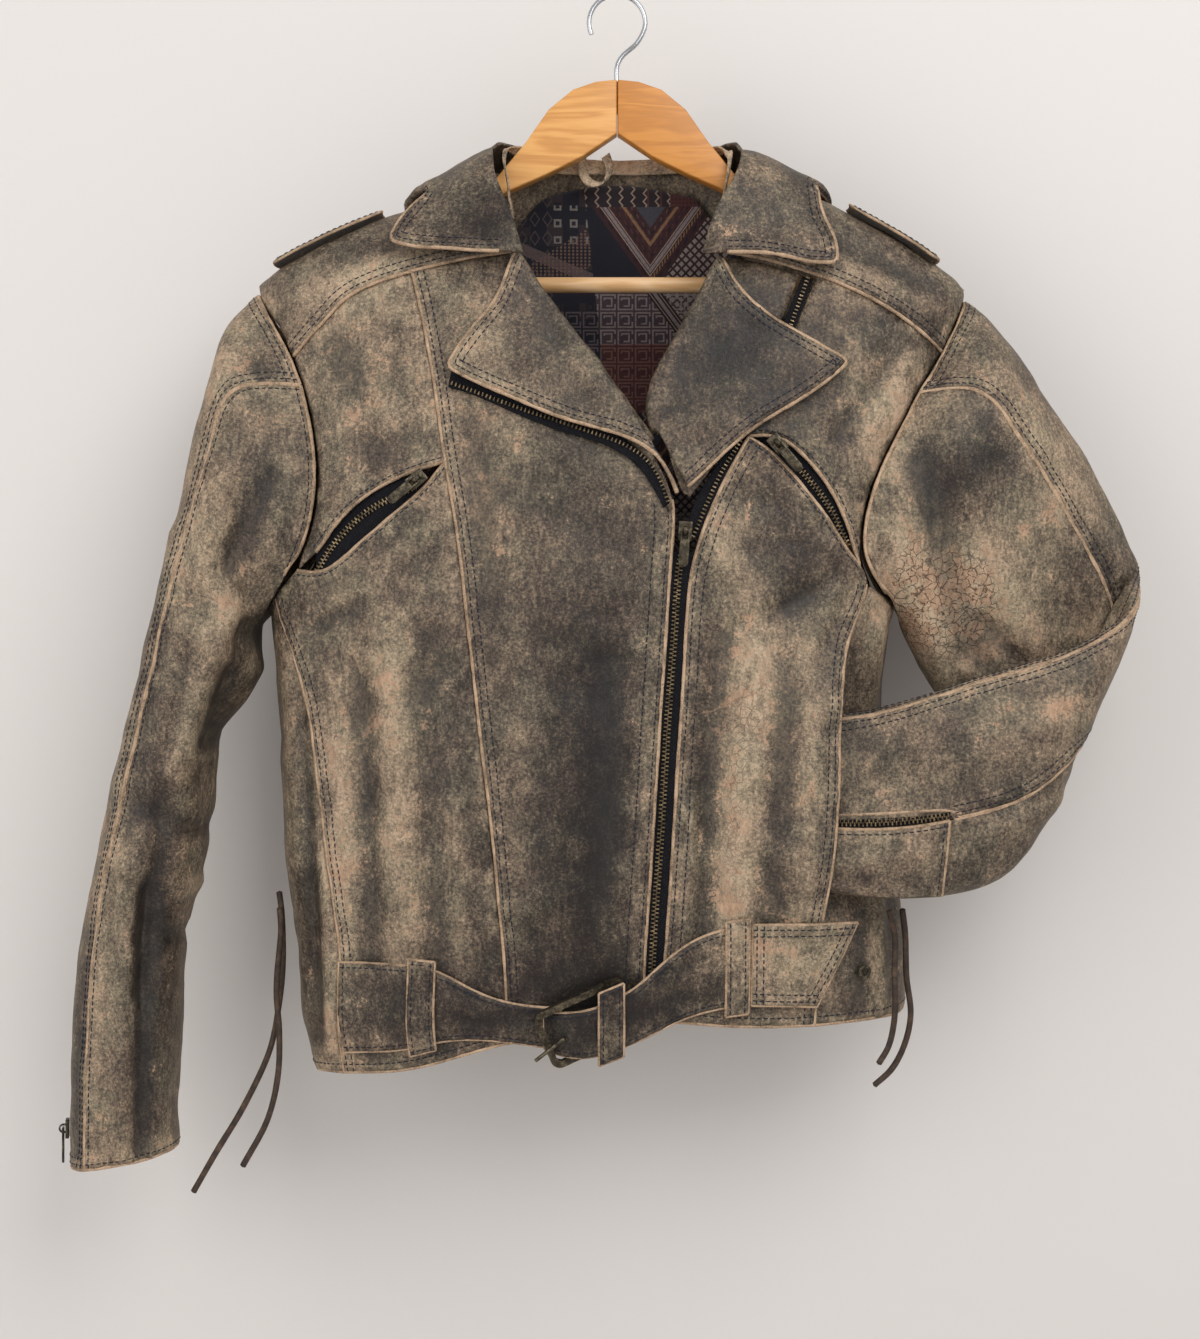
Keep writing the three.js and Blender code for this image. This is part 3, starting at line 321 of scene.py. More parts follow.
def pointsOf(data):
    flat = np.zeros(len(data.vertices) * 3)
    data.vertices.foreach_get("co", flat)
    return flat.reshape(-1, 3)


def normalsOf(data):
    flat = np.zeros(len(data.vertices) * 3)
    data.vertex_normals.foreach_get("vector", flat)
    return flat.reshape(-1, 3)


def movePoints(data, points):
    data.vertices.foreach_set("co", points.ravel())
    data.update()


def halfArea(o):
    # the area of one face of a sheet with a wall
    return sum(f.area for f in o.data.polygons) / 2


def thicken(o, wall):
    choose(o)
    wallMod = o.modifiers.new("wall", "SOLIDIFY")
    wallMod.thickness = wall * mm
    wallMod.offset = -1
    bpy.ops.object.modifier_apply(modifier="wall")


def hangOn(o, slot, node=None, body=coatBody):
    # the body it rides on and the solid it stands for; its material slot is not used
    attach(o, body)
    if node:
        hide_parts(node)


def sweep(line, width, thick, sides, normals=None, swell=1.0):
    # points and faces of a flattened tube along a line, with closed pointed ends
    line = np.asarray(line, float)
    count = len(line)
    tangent = unit(np.gradient(line, axis=0))
    if normals is None:
        normals = np.tile((0.0, -1.0, 0.0), (count, 1))
    out = unit(normals - (normals * tangent).sum(1)[:, None] * tangent)
    side = np.cross(tangent, out)
    a = np.linspace(0, 2 * math.pi, sides, endpoint=False)[None, :, None]
    ring = np.cos(a) * width / 2 * side[:, None, :] + np.sin(a) * thick / 2 * out[:, None, :]
    grow = np.broadcast_to(swell, count)
    points = (line[:, None, :] + ring * grow[:, None, None]).reshape(-1, 3)
    tip = thick * 0.25
    faces = []
    for j in range(count - 1):
        for i in range(sides):
            k = (i + 1) % sides
            faces.append((j * sides + i, j * sides + k, (j + 1) * sides + k, (j + 1) * sides + i))
    base = len(points)
    for i in range(sides):
        k = (i + 1) % sides
        faces.append((base, k, i))
        faces.append((base + 1, (count - 1) * sides + i, (count - 1) * sides + k))
    return np.vstack([points, line[0] - tangent[0] * tip, line[-1] + tangent[-1] * tip]), faces


# ---- laces: limp leather thongs that hang free ----
lace = {
    "width": 4.2, "thick": 3.4, "sides": 10, "steps": 70, "wander": 0.06, "wanderScale": 60,
    "lace_right_a": [[-236, -4, -626], [-234, -6, -640], [-233, -7, -677], [-236, -8, -707],
                     [-242, -9, -736], [-260, -11, -775], [-278, -13, -805], [-294, -14, -833]],
    "lace_right_b": [[-234, -15, -636], [-233, -16, -650], [-236, -17, -692], [-234, -17, -722],
                     [-235, -17, -752], [-242, -18, -782], [-259, -19, -814]],
    "lace_left_a": [[184, -48, -634], [188, -47, -651], [188, -46, -675], [188, -46, -706], [184, -46, -726],
                    [177, -47, -738]],
    "lace_left_b": [[194, -40, -634], [196, -40, -651], [197, -39, -680], [200, -38, -706], [196, -38, -726],
                    [187, -39, -743], [175, -40, -754]],
}


def thongLeather():
    board = Board("thongLeather")
    p = board.place()
    patchy = board.noise(p, 160, 4, 0.6)
    fine = board.noise(p, 1400, 3, 0.7)
    value = patchy * 0.6 + fine * 0.4
    colour = board.ramp(value, (0.36, "#241a14"), (0.5, "#3a2b21"), (0.64, "#5d4836"))
    return board.finish(color=colour, rough=0.62, normal=board.bump(value, 0.0006), shine=0.4)


laceLeather = thongLeather()
for name in ("lace_right_a", "lace_right_b", "lace_left_a", "lace_left_b"):
    route = smoothLine(lace[name], lace["steps"])
    wander = np.array([1 + lace["wander"] * noise.noise(Vector(q) * lace["wanderScale"]) for q in route])
    tube = sweep(route, lace["width"] * mm, lace["thick"] * mm, lace["sides"], swell=wander)
    piece = meshOf(name.replace("lace", "thong"), *tube, laceLeather)
    hangOn(piece, "lace_leather", name)
print("laces hung")


# ---- leather pieces ----
# Folds are soft ridges (height above 0) and troughs (below 0), along lines of [x, z], with their half width.
bodyHints = [(0, 0, -200), (0, 0, -400), (0, 0, -600), (0, 0, -700)]
rightArmHints = [(-240, 0, -310), (-275, -4, -400), (-300, -4, -500), (-325, -4, -600),
                 (-340, -4, -720), (-345, -4, -800)]
leftArmHints = [(230, 0, -340), (270, 5, -420), (322, 0, -470), (285, -55, -535),
                (220, -57, -552), (150, -61, -560)]
pieces = {
    "front_right_centre": {"folds": [([[-84, -560], [-60, -700]], 12, 1.6),
        ([[-40, -420], [-44, -640]], 26, 1.8), ([[-8, -470], [-14, -690]], 16, -1.8),
        ([[-96, -300], [-86, -430]], 14, -1.2), ([[-120, -215], [-60, -228]], 10, 1.2),
        ([[4, -600], [-24, -706]], 9, 1.3), ([[-70, -350], [10, -380]], 20, -1.0),
        ([[-70, -706], [-50, -640]], 7, -1.4)]},
    "front_right_lower": {"folds": [([[-156, -420], [-148, -540], [-140, -720]], 13, 1.8),
        ([[-128, -450], [-126, -560], [-118, -716]], 11, -1.4),
        ([[-172, -480], [-166, -600], [-164, -735]], 10, -1.7), ([[-188, -520], [-180, -650]], 10, 1.3),
        ([[-110, -560], [-102, -690]], 8, 1.1), ([[-200, -440], [-150, -420]], 8, -1.5),
        ([[-196, -600], [-150, -585], [-120, -600]], 10, 1.0), ([[-120, -470], [-170, -505]], 9, -1.0),
        ([[-190, -425], [-130, -380]], 7, 1.3), ([[-150, -640], [-140, -720]], 6, 1.4)]},
    "front_right_chest": {"folds": [([[-190, -250], [-160, -330]], 14, -1.4),
        ([[-180, -300], [-150, -300]], 12, 1.2), ([[-196, -370], [-170, -345]], 8, 1.2)]},
    "front_right_yoke": {"folds": [([[-120, -180], [-210, -215]], 10, 1.4),
        ([[-110, -170], [-190, -190]], 8, -1.2)]},
    "front_left_lower": {"folds": [([[96, -430], [82, -560], [76, -650]], 11, 2.2),
        ([[70, -450], [60, -560], [58, -660]], 9, -1.6), ([[114, -470], [106, -580], [98, -690]], 11, -1.6),
        ([[130, -500], [124, -640], [118, -700]], 8, 1.4), ([[56, -600], [90, -585], [128, -604]], 9, 0.9),
        ([[60, -500], [100, -520]], 9, -0.8), ([[60, -380], [90, -420]], 12, 1.2),
        ([[130, -420], [90, -440]], 8, -1.8), ([[48, -560], [42, -690]], 7, 1.6),
        ([[146, -420], [120, -470]], 7, 1.8), ([[100, -360], [70, -350]], 9, -1.0),
        ([[84, -650], [76, -704]], 7, -1.8)]},
    "front_left_chest": {"folds": [([[200, -262], [165, -330]], 11, 1.8),
        ([[186, -262], [150, -312]], 8, -1.6), ([[150, -230], [170, -300]], 12, 1.2),
        ([[172, -350], [166, -390]], 6, -1.2)]},
    "front_left_yoke": {"folds": [([[120, -180], [205, -222]], 9, 1.4),
        ([[150, -178], [214, -208]], 8, -1.4)]},
    "front_left_underlap": {"folds": []},
    "side_right": {"folds": [([[-215, -470], [-205, -720]], 9, -2.4),
        ([[-225, -450], [-216, -600]], 9, 2.0), ([[-198, -560], [-196, -730]], 7, 2.0)]},
    "side_left": {"folds": [([[180, -440], [172, -500]], 8, 2.0), ([[165, -640], [162, -700]], 7, -2.0),
        ([[178, -630], [180, -700]], 7, 2.0), ([[190, -440], [186, -700]], 8, -1.6)]},
    "back": {"folds": [([[-120, -280], [-100, -560], [-110, -720]], 18, 3.0),
        ([[-70, -300], [-60, -640]], 16, -2.6), ([[20, -420], [10, -700]], 18, 2.6),
        ([[90, -300], [100, -520], [92, -700]], 16, -2.6), ([[140, -420], [130, -690]], 12, 2.6),
        ([[-170, -420], [-150, -700]], 12, -2.6), ([[-60, -650], [60, -660]], 14, 1.4),
        ([[-150, -620], [-40, -632]], 10, -1.2)]},
    "back_yoke": {"folds": [([[-200, -225], [-80, -180]], 14, 1.8), ([[200, -225], [80, -180]], 14, 1.8),
        ([[-60, -200], [60, -200]], 16, -1.2)]},
    "sleeve_right_outer": {
        "hints": rightArmHints,
        "folds": [([[-300, -380], [-330, -520], [-352, -640]], 8, 2.2),
        ([[-330, -560], [-352, -700], [-356, -800]], 6, 2.2),
        ([[-342, -560], [-366, -700], [-368, -800]], 6, -2.0), ([[-262, -240], [-300, -330]], 14, 1.6),
        ([[-250, -262], [-236, -300]], 10, -1.6)]},
    "sleeve_right_inner": {
        "hints": rightArmHints,
        "folds": [([[-262, -340], [-296, -470], [-318, -600]], 9, 2.6),
        ([[-284, -420], [-306, -540], [-322, -690]], 8, -3.0),
        ([[-330, -600], [-336, -700], [-338, -800]], 7, 2.6),
        ([[-318, -620], [-322, -720], [-324, -800]], 6, -2.4),
        ([[-262, -430], [-286, -500], [-300, -540]], 7, 2.4), ([[-250, -440], [-280, -520]], 6, -2.6),
        ([[-290, -580], [-330, -560]], 8, -2.0), ([[-296, -620], [-334, -606]], 7, 1.8),
        ([[-298, -655], [-330, -650]], 7, -1.6), ([[-232, -340], [-262, -400]], 9, -2.2),
        ([[-222, -330], [-240, -400]], 7, 1.8), ([[-250, -470], [-290, -440]], 7, 1.4)]},
    "sleeve_right_back": {
        "hints": rightArmHints,
        "folds": [([[-280, -400], [-310, -560], [-330, -740]], 9, 2.4),
        ([[-262, -420], [-300, -560]], 7, -2.2), ([[-300, -600], [-350, -590]], 8, -1.8)]},
    "sleeve_left_outer": {
        "hints": leftArmHints,
        "folds": [([[262, -270], [320, -360], [344, -400]], 9, 2.4), ([[300, -330], [340, -400]], 6, -2.0),
        ([[340, -470], [250, -500], [160, -520]], 7, 2.0), ([[330, -480], [260, -520]], 6, -2.2),
        ([[310, -530], [230, -552], [150, -560]], 8, 1.8)]},
    "sleeve_left_inner": {
        "hints": leftArmHints,
        "folds": [([[225, -300], [262, -400], [290, -470]], 12, 2.6),
        ([[205, -330], [232, -430], [262, -500]], 10, -2.6),
        ([[190, -380], [210, -440], [236, -500]], 7, 2.0), ([[250, -440], [300, -480]], 8, -2.4),
        ([[240, -470], [292, -500]], 6, 2.4), ([[330, -500], [240, -530], [150, -540]], 10, 2.6),
        ([[320, -520], [240, -560], [150, -565]], 8, -2.2), ([[300, -560], [220, -590]], 8, 2.0),
        ([[270, -500], [200, -515]], 6, -2.0)]},
    "sleeve_left_back": {
        "hints": leftArmHints,
        "folds": [([[240, -300], [290, -400]], 10, 2.4), ([[220, -360], [260, -460]], 8, -2.0)]},
    "cuff_panel_left": {"hints": leftArmHints, "folds": [([[220, -592], [150, -600]], 8, 1.0)]},
    "lapel_right": {
        "folds": [([[-80, -250], [-20, -270]], 12, 1.2), ([[-60, -215], [-20, -290]], 10, -0.9)]},
    "lapel_left": {"folds": [([[60, -300], [110, -262]], 12, 1.2), ([[45, -270], [100, -240]], 9, -0.9)]},
    "collar_leaf": {
        "hints": [(0, 0, -260)],
        "folds": [([[-135, -180], [-95, -130]], 10, 1.2), ([[130, -180], [100, -130]], 10, 1.2)]},
    "belt_right": {
        "folds": [([[-110, -690], [-60, -712]], 8, 1.4), ([[-100, -706], [-50, -704]], 6, -1.2)]},
    "belt_left": {"folds": [([[20, -690], [70, -668]], 8, 1.2), ([[-10, -708], [40, -686]], 6, -1.2)]},
    "belt_end": {"folds": [([[100, -668], [146, -666]], 12, 0.8)]},
    "belt_loop_right": {"folds": []},
    "belt_loop_left": {"folds": []},
    "belt_keeper": {"folds": []},
    "epaulette_right": {"folds": []},
    "epaulette_left": {"folds": []},
    "collar_stand": {"wall": 1.6, "folds": []},
    "hang_loop": {"wall": 1.2, "folds": []},
}
smallPieces = {"belt_loop_right", "belt_loop_left", "belt_keeper", "belt_end", "epaulette_right",
               "epaulette_left", "hang_loop", "collar_stand", "cuff_panel_left"}
quiet = smallPieces | {"belt_right", "belt_left"}
# Every cut edge has short sides as long as the wall is thick, to within "rimMatch".
sheetLook = {
    "faceSize": 3.7, "smallShare": 0.7, "weld": 0.03, "rimMatch": 0.006, "wall": 2.0, "wallShare": 0.95,
    "wave": 1.3, "ripple": 0.5, "quietShare": 0.35, "rimDrop": 0.5, "rimWidth": 1.8,
    "lapRise": 1.3, "lapWidth": 12, "lapFlat": 1.35, "lapUnderBelt": 0.8, "foldGain": 1.7, "underBelt": 0.72,
}


def outerSheet(node, hints, wall):
    # the outer face of a cloth solid, as an open sheet of quads
    bm = bmesh.new()
    bm.from_mesh(nodes[node].data)
    bmesh.ops.remove_doubles(bm, verts=bm.verts, dist=sheetLook["weld"] * mm)
    near = sheetLook["rimMatch"] * mm
    rim = [f for f in bm.faces if any(abs(e.calc_length() - wall * mm) < near for e in f.edges)]
    bmesh.ops.delete(bm, geom=rim, context="FACES")
    points = [Vector(h) * mm for h in hints]
    left = set(bm.faces)
    best, bestScore = None, 0
    while left:
        seed = left.pop()
        group, queue = [seed], [seed]
        while queue:
            for e in queue.pop().edges:
                for g in e.link_faces:
                    if g in left:
                        left.remove(g)
                        group.append(g)
                        queue.append(g)
        score = 0
        for f in group:
            c = f.calc_center_median()
            inner = min(points, key=lambda h: (h - c).length)
            score += f.calc_area() * f.normal.dot(c - inner)
        if score > bestScore:
            best, bestScore = set(group), score
    bmesh.ops.delete(bm, geom=[f for f in bm.faces if f not in best], context="FACES")
    bmesh.ops.join_triangles(bm, faces=bm.faces, angle_face_threshold=3.1, angle_shape_threshold=3.1)
    data = bpy.data.meshes.new(node + "Leather")
    bm.to_mesh(data)
    bm.free()
    return data


def refine(name, data, faceSize):
    # smooth, finer quads
    ends = [[data.vertices[v].co for v in e.vertices] for e in data.edges]
    span = np.mean([(a - b).length for a, b in ends])
    levels = int(np.clip(round(math.log2(span / (faceSize * mm))), 0, 3))
    o = linked(name, data)
    if levels:
        choose(o)
        smoother = o.modifiers.new("smoother", "SUBSURF")
        smoother.levels = smoother.render_levels = levels
        smoother.boundary_smooth = "PRESERVE_CORNERS"
        bpy.ops.object.modifier_apply(modifier="smoother")
    shadeSmooth(o.data)
    return o


def rimLoops(data):
    # the boundary of a sheet as loops of vertex numbers
    count = {}
    for f in data.polygons:
        v = list(f.vertices)
        for a, b in zip(v, v[1:] + v[:1]):
            count[(a, b)] = count.get((a, b), 0) + 1
    nextOf = {a: b for (a, b) in count if (b, a) not in count}
    loops = []
    while nextOf:
        start, b = nextOf.popitem()
        loop = [start]
        while b != start and b in nextOf:
            loop.append(b)
            b = nextOf.pop(b)
        loops.append(loop)
    return sorted(loops, key=len, reverse=True)


def awayFromRim(points, loop):
    # distance from each point to the nearest one on the rim, in millimetres
    tree = KDTree(len(loop))
    for k, v in enumerate(loop):
        tree.insert(points[v], k)
    tree.balance()
    return np.array([tree.find(q)[2] for q in points]) / mm


def awayFromLine(points, line):
    # distance from each point to a line of points, in the same units
    best = np.full(len(points), 1e9)
    for a, b in zip(line[:-1], line[1:]):
        a, b = np.asarray(a, float), np.asarray(b, float)
        d = b - a
        t = np.clip(((points - a) @ d) / max(d @ d, 1e-12), 0, 1)
        best = np.minimum(best, np.linalg.norm(points - a - t[:, None] * d, axis=1))
    return best


def waves(points, scale, seed=0.0):
    spots = [Vector((x * scale + seed, y * scale, z * scale - seed)) for x, y, z in points]
    return np.array([noise.noise(q) for q in spots])


def store(data, name, values):
    made = data.attributes.new(name, "FLOAT", "POINT")
    made.data.foreach_set("value", np.asarray(values, np.float32))


# Rubbed (above 0, lighter) and dark (below 0) places: [x, z], half width, half height, strength and
# face (-1 front, 1 back)
tones = [
    # right front
    ([-173, -212], 50, 22, 0.17, -1), ([-170, -262], 34, 40, 0.13, -1), ([-205, -330], 16, 60, -0.08, -1),
    ([-78, -345], 30, 70, 0.17, -1), ([-20, -385], 34, 26, 0.04, -1), ([-26, -450], 44, 90, -0.25, -1),
    ([-34, -610], 46, 100, -0.27, -1), ([14, -560], 10, 120, 0.10, -1), ([-66, -560], 9, 120, 0.09, -1),
    ([-159, -500], 40, 70, 0.11, -1), ([-186, -560], 12, 110, 0.14, -1), ([-100, -470], 14, 70, -0.13, -1),
    ([-120, -640], 26, 80, 0.05, -1), ([-150, -690], 40, 26, -0.05, -1),
    ([-48, -262], 30, 44, -0.10, -1), ([-92, -250], 16, 40, 0.12, -1),
    # left front
    ([84, -262], 56, 56, -0.24, -1), ([130, -252], 16, 14, 0.16, -1), ([198, -236], 30, 24, -0.12, -1),
    ([186, -300], 16, 46, 0.16, -1), ([140, -240], 30, 20, -0.08, -1), ([116, -398], 30, 30, -0.21, -1),
    ([70, -372], 18, 26, 0.10, -1), ([98, -492], 34, 60, 0.19, -1), ([76, -590], 16, 90, 0.20, -1),
    ([124, -590], 14, 90, 0.02, -1), ([56, -470], 9, 110, -0.08, -1), ([160, -470], 20, 70, -0.05, -1),
    ([121, -674], 40, 30, 0.15, -1), ([0, -694], 90, 26, -0.14, -1), ([-96, -690], 60, 26, -0.16, -1),
    # right sleeve
    ([-272, -258], 26, 40, 0.15, -1), ([-285, -370], 20, 60, 0.08, -1), ([-232, -400], 16, 50, -0.06, -1),
    ([-262, -425], 10, 22, 0.18, -1), ([-318, -560], 16, 150, -0.15, -1), ([-352, -660], 12, 150, 0.16, -1),
    ([-296, -560], 9, 120, 0.06, -1), ([-334, -758], 22, 60, -0.12, -1), ([-318, -802], 22, 14, 0.16, -1),
    ([-330, -470], 10, 120, 0.10, -1),
    # left sleeve
    ([303, -338], 40, 46, 0.18, -1), ([330, -400], 20, 30, -0.16, -1), ([240, -332], 38, 34, -0.24, -1),
    ([226, -424], 46, 44, 0.44, -1), ([196, -360], 12, 44, 0.14, -1), ([262, -400], 12, 30, -0.10, -1),
    ([340, -452], 18, 26, 0.14, -1), ([233, -520], 60, 16, 0.03, -1), ([160, -512], 24, 16, -0.10, -1),
    ([290, -500], 40, 12, 0.13, -1), ([270, -560], 50, 20, -0.02, -1), ([184, -607], 46, 16, -0.02, -1),
    # collar
    ([-120, -118], 20, 14, 0.10, -1), ([-86, -172], 14, 16, -0.10, -1), ([112, -120], 30, 18, 0.12, -1),
    ([90, -172], 20, 16, 0.04, -1),
    # back and the far faces of the sleeves
    ([0, -230], 120, 40, 0.12, 1), ([-80, -420], 60, 120, -0.05, 1), ([90, -520], 60, 120, -0.03, 1),
    ([0, -480], 90, 200, 0.08, 1), ([-20, -640], 120, 50, 0.10, 1), ([150, -330], 40, 60, 0.15, 1),
    ([-160, -330], 40, 60, 0.15, 1), ([-320, -600], 30, 80, 0.15, 1), ([300, -450], 40, 60, 0.18, 1),
    ([-150, -600], 40, 80, 0.10, 1),
]


def toneAt(points, normals):
    value = np.zeros(len(points))
    across, up = points[:, 0] / mm, points[:, 2] / mm
    for (x, z), wide, high, strength, face in tones:
        side = np.clip(0.5 + 2.5 * face * normals[:, 1], 0, 1)
        value += strength * side * np.exp(-((across - x) / wide) ** 2 - ((up - z) / high) ** 2)
    return value


leatherSheets = {}
for name, want in pieces.items():
    data = outerSheet(name, want.get("hints", bodyHints), want.get("wall", sheetLook["wall"]))
    share = sheetLook["smallShare"] if name in smallPieces else 1
    leatherSheets[name] = refine(name + "_skin", data, sheetLook["faceSize"] * share)
print("leather cut:", len(leatherSheets), "pieces")


# ---- seams: a raw edge and rows of stitches along stretches of a piece's edge ----
# Places are [x, z], with a third value 1 on the back. "rows" are distances from the edge.
lapSeams = [
    ("front_right_centre", [-75, -722], [-90, -529], [-140, -201], [3.4, 8.0]),
    ("front_right_centre", [17, -713], [25, -555], [39, -357], [3.4, 12.5]),
    ("front_right_lower", [-218, -403], [-178, -390], [-116, -332], [2.9]),
    ("front_right_chest", [-203, -392], [-178, -360], [-116, -332], [2.9]),
    ("front_right_lower", [-187, -746], [-202, -556], [-237, -421], [3.4, 8.0]),
    ("front_right_yoke", [-222, -257], [-189, -220], [-72, -187], [3.4, 8.0]),
    ("front_left_lower", [28, -706], [43, -477], [87, -315], [3.4, 9.5]),
    ("front_left_lower", [87, -315], [120, -343], [163, -400], [2.9]),
    ("front_left_chest", [90, -313], [145, -351], [163, -400], [2.9]),
    ("front_left_lower", [133, -711], [141, -570], [172, -414], [3.4, 8.0]),
    ("front_left_yoke", [71, -187], [165, -215], [224, -252], [3.4, 8.0]),
    ("front_right_centre", [-75, -722], [-39, -717], [17, -713], [6.0]),
    ("front_right_lower", [-187, -746], [-148, -743], [-75, -722], [6.0]),
    ("front_left_lower", [28, -706], [60, -709], [133, -711], [6.0]),
    ("side_right", [-187, -746], [-210, -748], [-170, -741, 1], [6.0]),
    ("side_left", [133, -711], [199, -705], [160, -703, 1], [6.0]),
    ("back", [-170, -741, 1], [0, -716, 1], [160, -703, 1], [6.0]),
    ("back_yoke", [-220, -262, 1], [0, -251, 1], [206, -262, 1], [3.4, 8.0]),
    ("back", [-170, -741, 1], [-190, -560, 1], [-237, -421, 1], [3.4, 8.0]),
    ("back", [160, -703, 1], [160, -560, 1], [188, -425, 1], [3.4, 8.0]),
    ("lapel_right", [-70, -190], [-39, -304], [39, -354], [3.6, 8.2]),
    ("lapel_left", [71, -193], [140, -278], [46, -350], [3.6, 8.2]),
    ("collar_leaf", [-77, -194], [0, -175, 1], [72, -195], [3.6, 8.2]),
]
wholeEdges = {
    "belt_right": [3.4], "belt_left": [3.4], "belt_end": [3.4, 8.0], "belt_loop_right": [2.8],
    "belt_loop_left": [2.8], "belt_keeper": [2.8], "epaulette_right": [3.0], "epaulette_left": [3.0],
}
seamLook = {
    "bead": 2.7, "beadThick": 2.5, "beadStep": 3.2, "beadSides": 7, "beadSink": 0.8,
    "slimBead": 0.78, "stitch": 3.3, "gap": 1.15, "thread": 0.85, "threadSides": 6, "rise": 0.1,
    "probe": 4, "reach": 2.2, "shortest": 8,
}


def nearestOnLoop(points, loop, place):
    # points on the coat's other face are put 80 mm further off
    side = 1 if len(place) > 2 else -1
    p = points[loop]
    miss = np.hypot(p[:, 0] / mm - place[0], p[:, 2] / mm - place[1])
    miss = miss + np.where(p[:, 1] * side < -0.012, 80, 0)
    return int(miss.argmin())


def stretchOf(points, loop, start, via, end):
    s, v, e = [nearestOnLoop(points, loop, q) for q in (start, via, end)]
    n = len(loop)
    ahead = [(s + k) % n for k in range((e - s) % n + 1)]
    back = [(s - k) % n for k in range((s - e) % n + 1)]
    return [loop[k] for k in (ahead if v in ahead else back)]


def cornersOf(data, loop):
    uses = np.zeros(len(data.vertices), int)
    for f in data.polygons:
        for v in f.vertices:
            uses[v] += 1
    return [k for k, v in enumerate(loop) if uses[v] == 1]


# sleeve seams: each sleeve panel's edges between its corners
sleeveSides = {
    "sleeve_right_outer": [3.4, 8.0], "sleeve_right_inner": [3.4], "sleeve_right_back": [3.4],
    "sleeve_left_outer": [3.4, 8.0], "sleeve_left_inner": [], "sleeve_left_back": [3.4, 8.0],
    "cuff_panel_left": [3.4],
}
# each run is (piece, numbers along its edge, rows)
runs = []
flatSizes = {}
for name, o in leatherSheets.items():
    p = pointsOf(o.data)
    loop = rimLoops(o.data)[0]
    for piece, start, via, end, rows in lapSeams:
        if piece == name:
            runs.append((name, stretchOf(p, loop, start, via, end), rows))
    corners = cornersOf(o.data, loop)
    sides = []
    for a, b in zip(corners, corners[1:] + corners[:1]):
        last = b if b > a else b + len(loop)
        sides.append([loop[k % len(loop)] for k in range(a, last + 1)])
    if name in sleeveSides:
        for side in sides:
            # the panel's lower edge is turned under
            turnedUnder = name == "cuff_panel_left" and p[side][:, 2].mean() < -0.606
            if not turnedUnder:
                runs.append((name, side, sleeveSides[name]))
    if name in wholeEdges:
        for side in sides:
            runs.append((name, side, wholeEdges[name]))
    lengths = [lineLength(p[side]) for side in sides]
    if len(lengths) == 4:
        flatSizes[name] = (max(lengths[0], lengths[2]), max(lengths[1], lengths[3]))


# ---- creases put into the sheets ----
def fade(depth, wide):
    return np.clip(depth / wide, 0, 1)


def beltZone(points):
    # 1 under the belt, and more under the left cuff's zip and panel; each side fades over some millimetres
    x, y, z = (points / mm).T
    belt = fade(-632 - z, 20) * fade(175 - x, 14) * fade(x + 200, 12)
    cuff = fade(-552 - z, 12) * fade(250 - x, 20) * (x > 120) * (y < -40) * 1.38
    return np.maximum(belt, cuff)


for name, o in leatherSheets.items():
    data = o.data
    p, n = pointsOf(data), normalsOf(data)
    edge = awayFromRim(p, rimLoops(data)[0])
    crease = np.zeros(len(p))
    for line, wide, high in pieces[name]["folds"]:
        crease += high * np.exp(-(awayFromLine(p[:, [0, 2]] / mm, line) / wide) ** 2)
    # folds fade out towards the cut edge, and the fine ripple grows there
    crease *= sheetLook["foldGain"] * (0.3 + 0.7 * fade(edge, 12))
    calm = sheetLook["quietShare"] if name in quiet else 1.0
    lift = crease + calm * sheetLook["wave"] * (waves(p, 26, 3.1) + 0.55 * waves(p, 62, 7.7))
    lift += calm * sheetLook["ripple"] * waves(p, 120, 1.3) * (0.5 + 1.3 * np.exp(-(edge / 9) ** 2))
    under = beltZone(p)
    if name not in quiet:
        lift *= 1 - sheetLook["underBelt"] * under
    lift -= sheetLook["rimDrop"] * np.exp(-(edge / sheetLook["rimWidth"]) ** 2)
    lapShare = np.clip(1 - sheetLook["lapUnderBelt"] * under, 0, 1)
    for piece, run, rows in runs:
        if piece == name and name not in quiet and not name.startswith("sleeve"):
            near = awayFromLine(p, [p[v] for v in run[::3] + run[-1:]]) / mm
            rise = np.clip(sheetLook["lapFlat"] - near / sheetLook["lapWidth"], 0, 1)
            lift += sheetLook["lapRise"] * rise * lapShare
    movePoints(data, p + n * lift[:, None] * mm)
    store(data, "seamAway", edge)
    store(data, "fold", crease)
    store(data, "rub", toneAt(p, n))
print("creases laid")


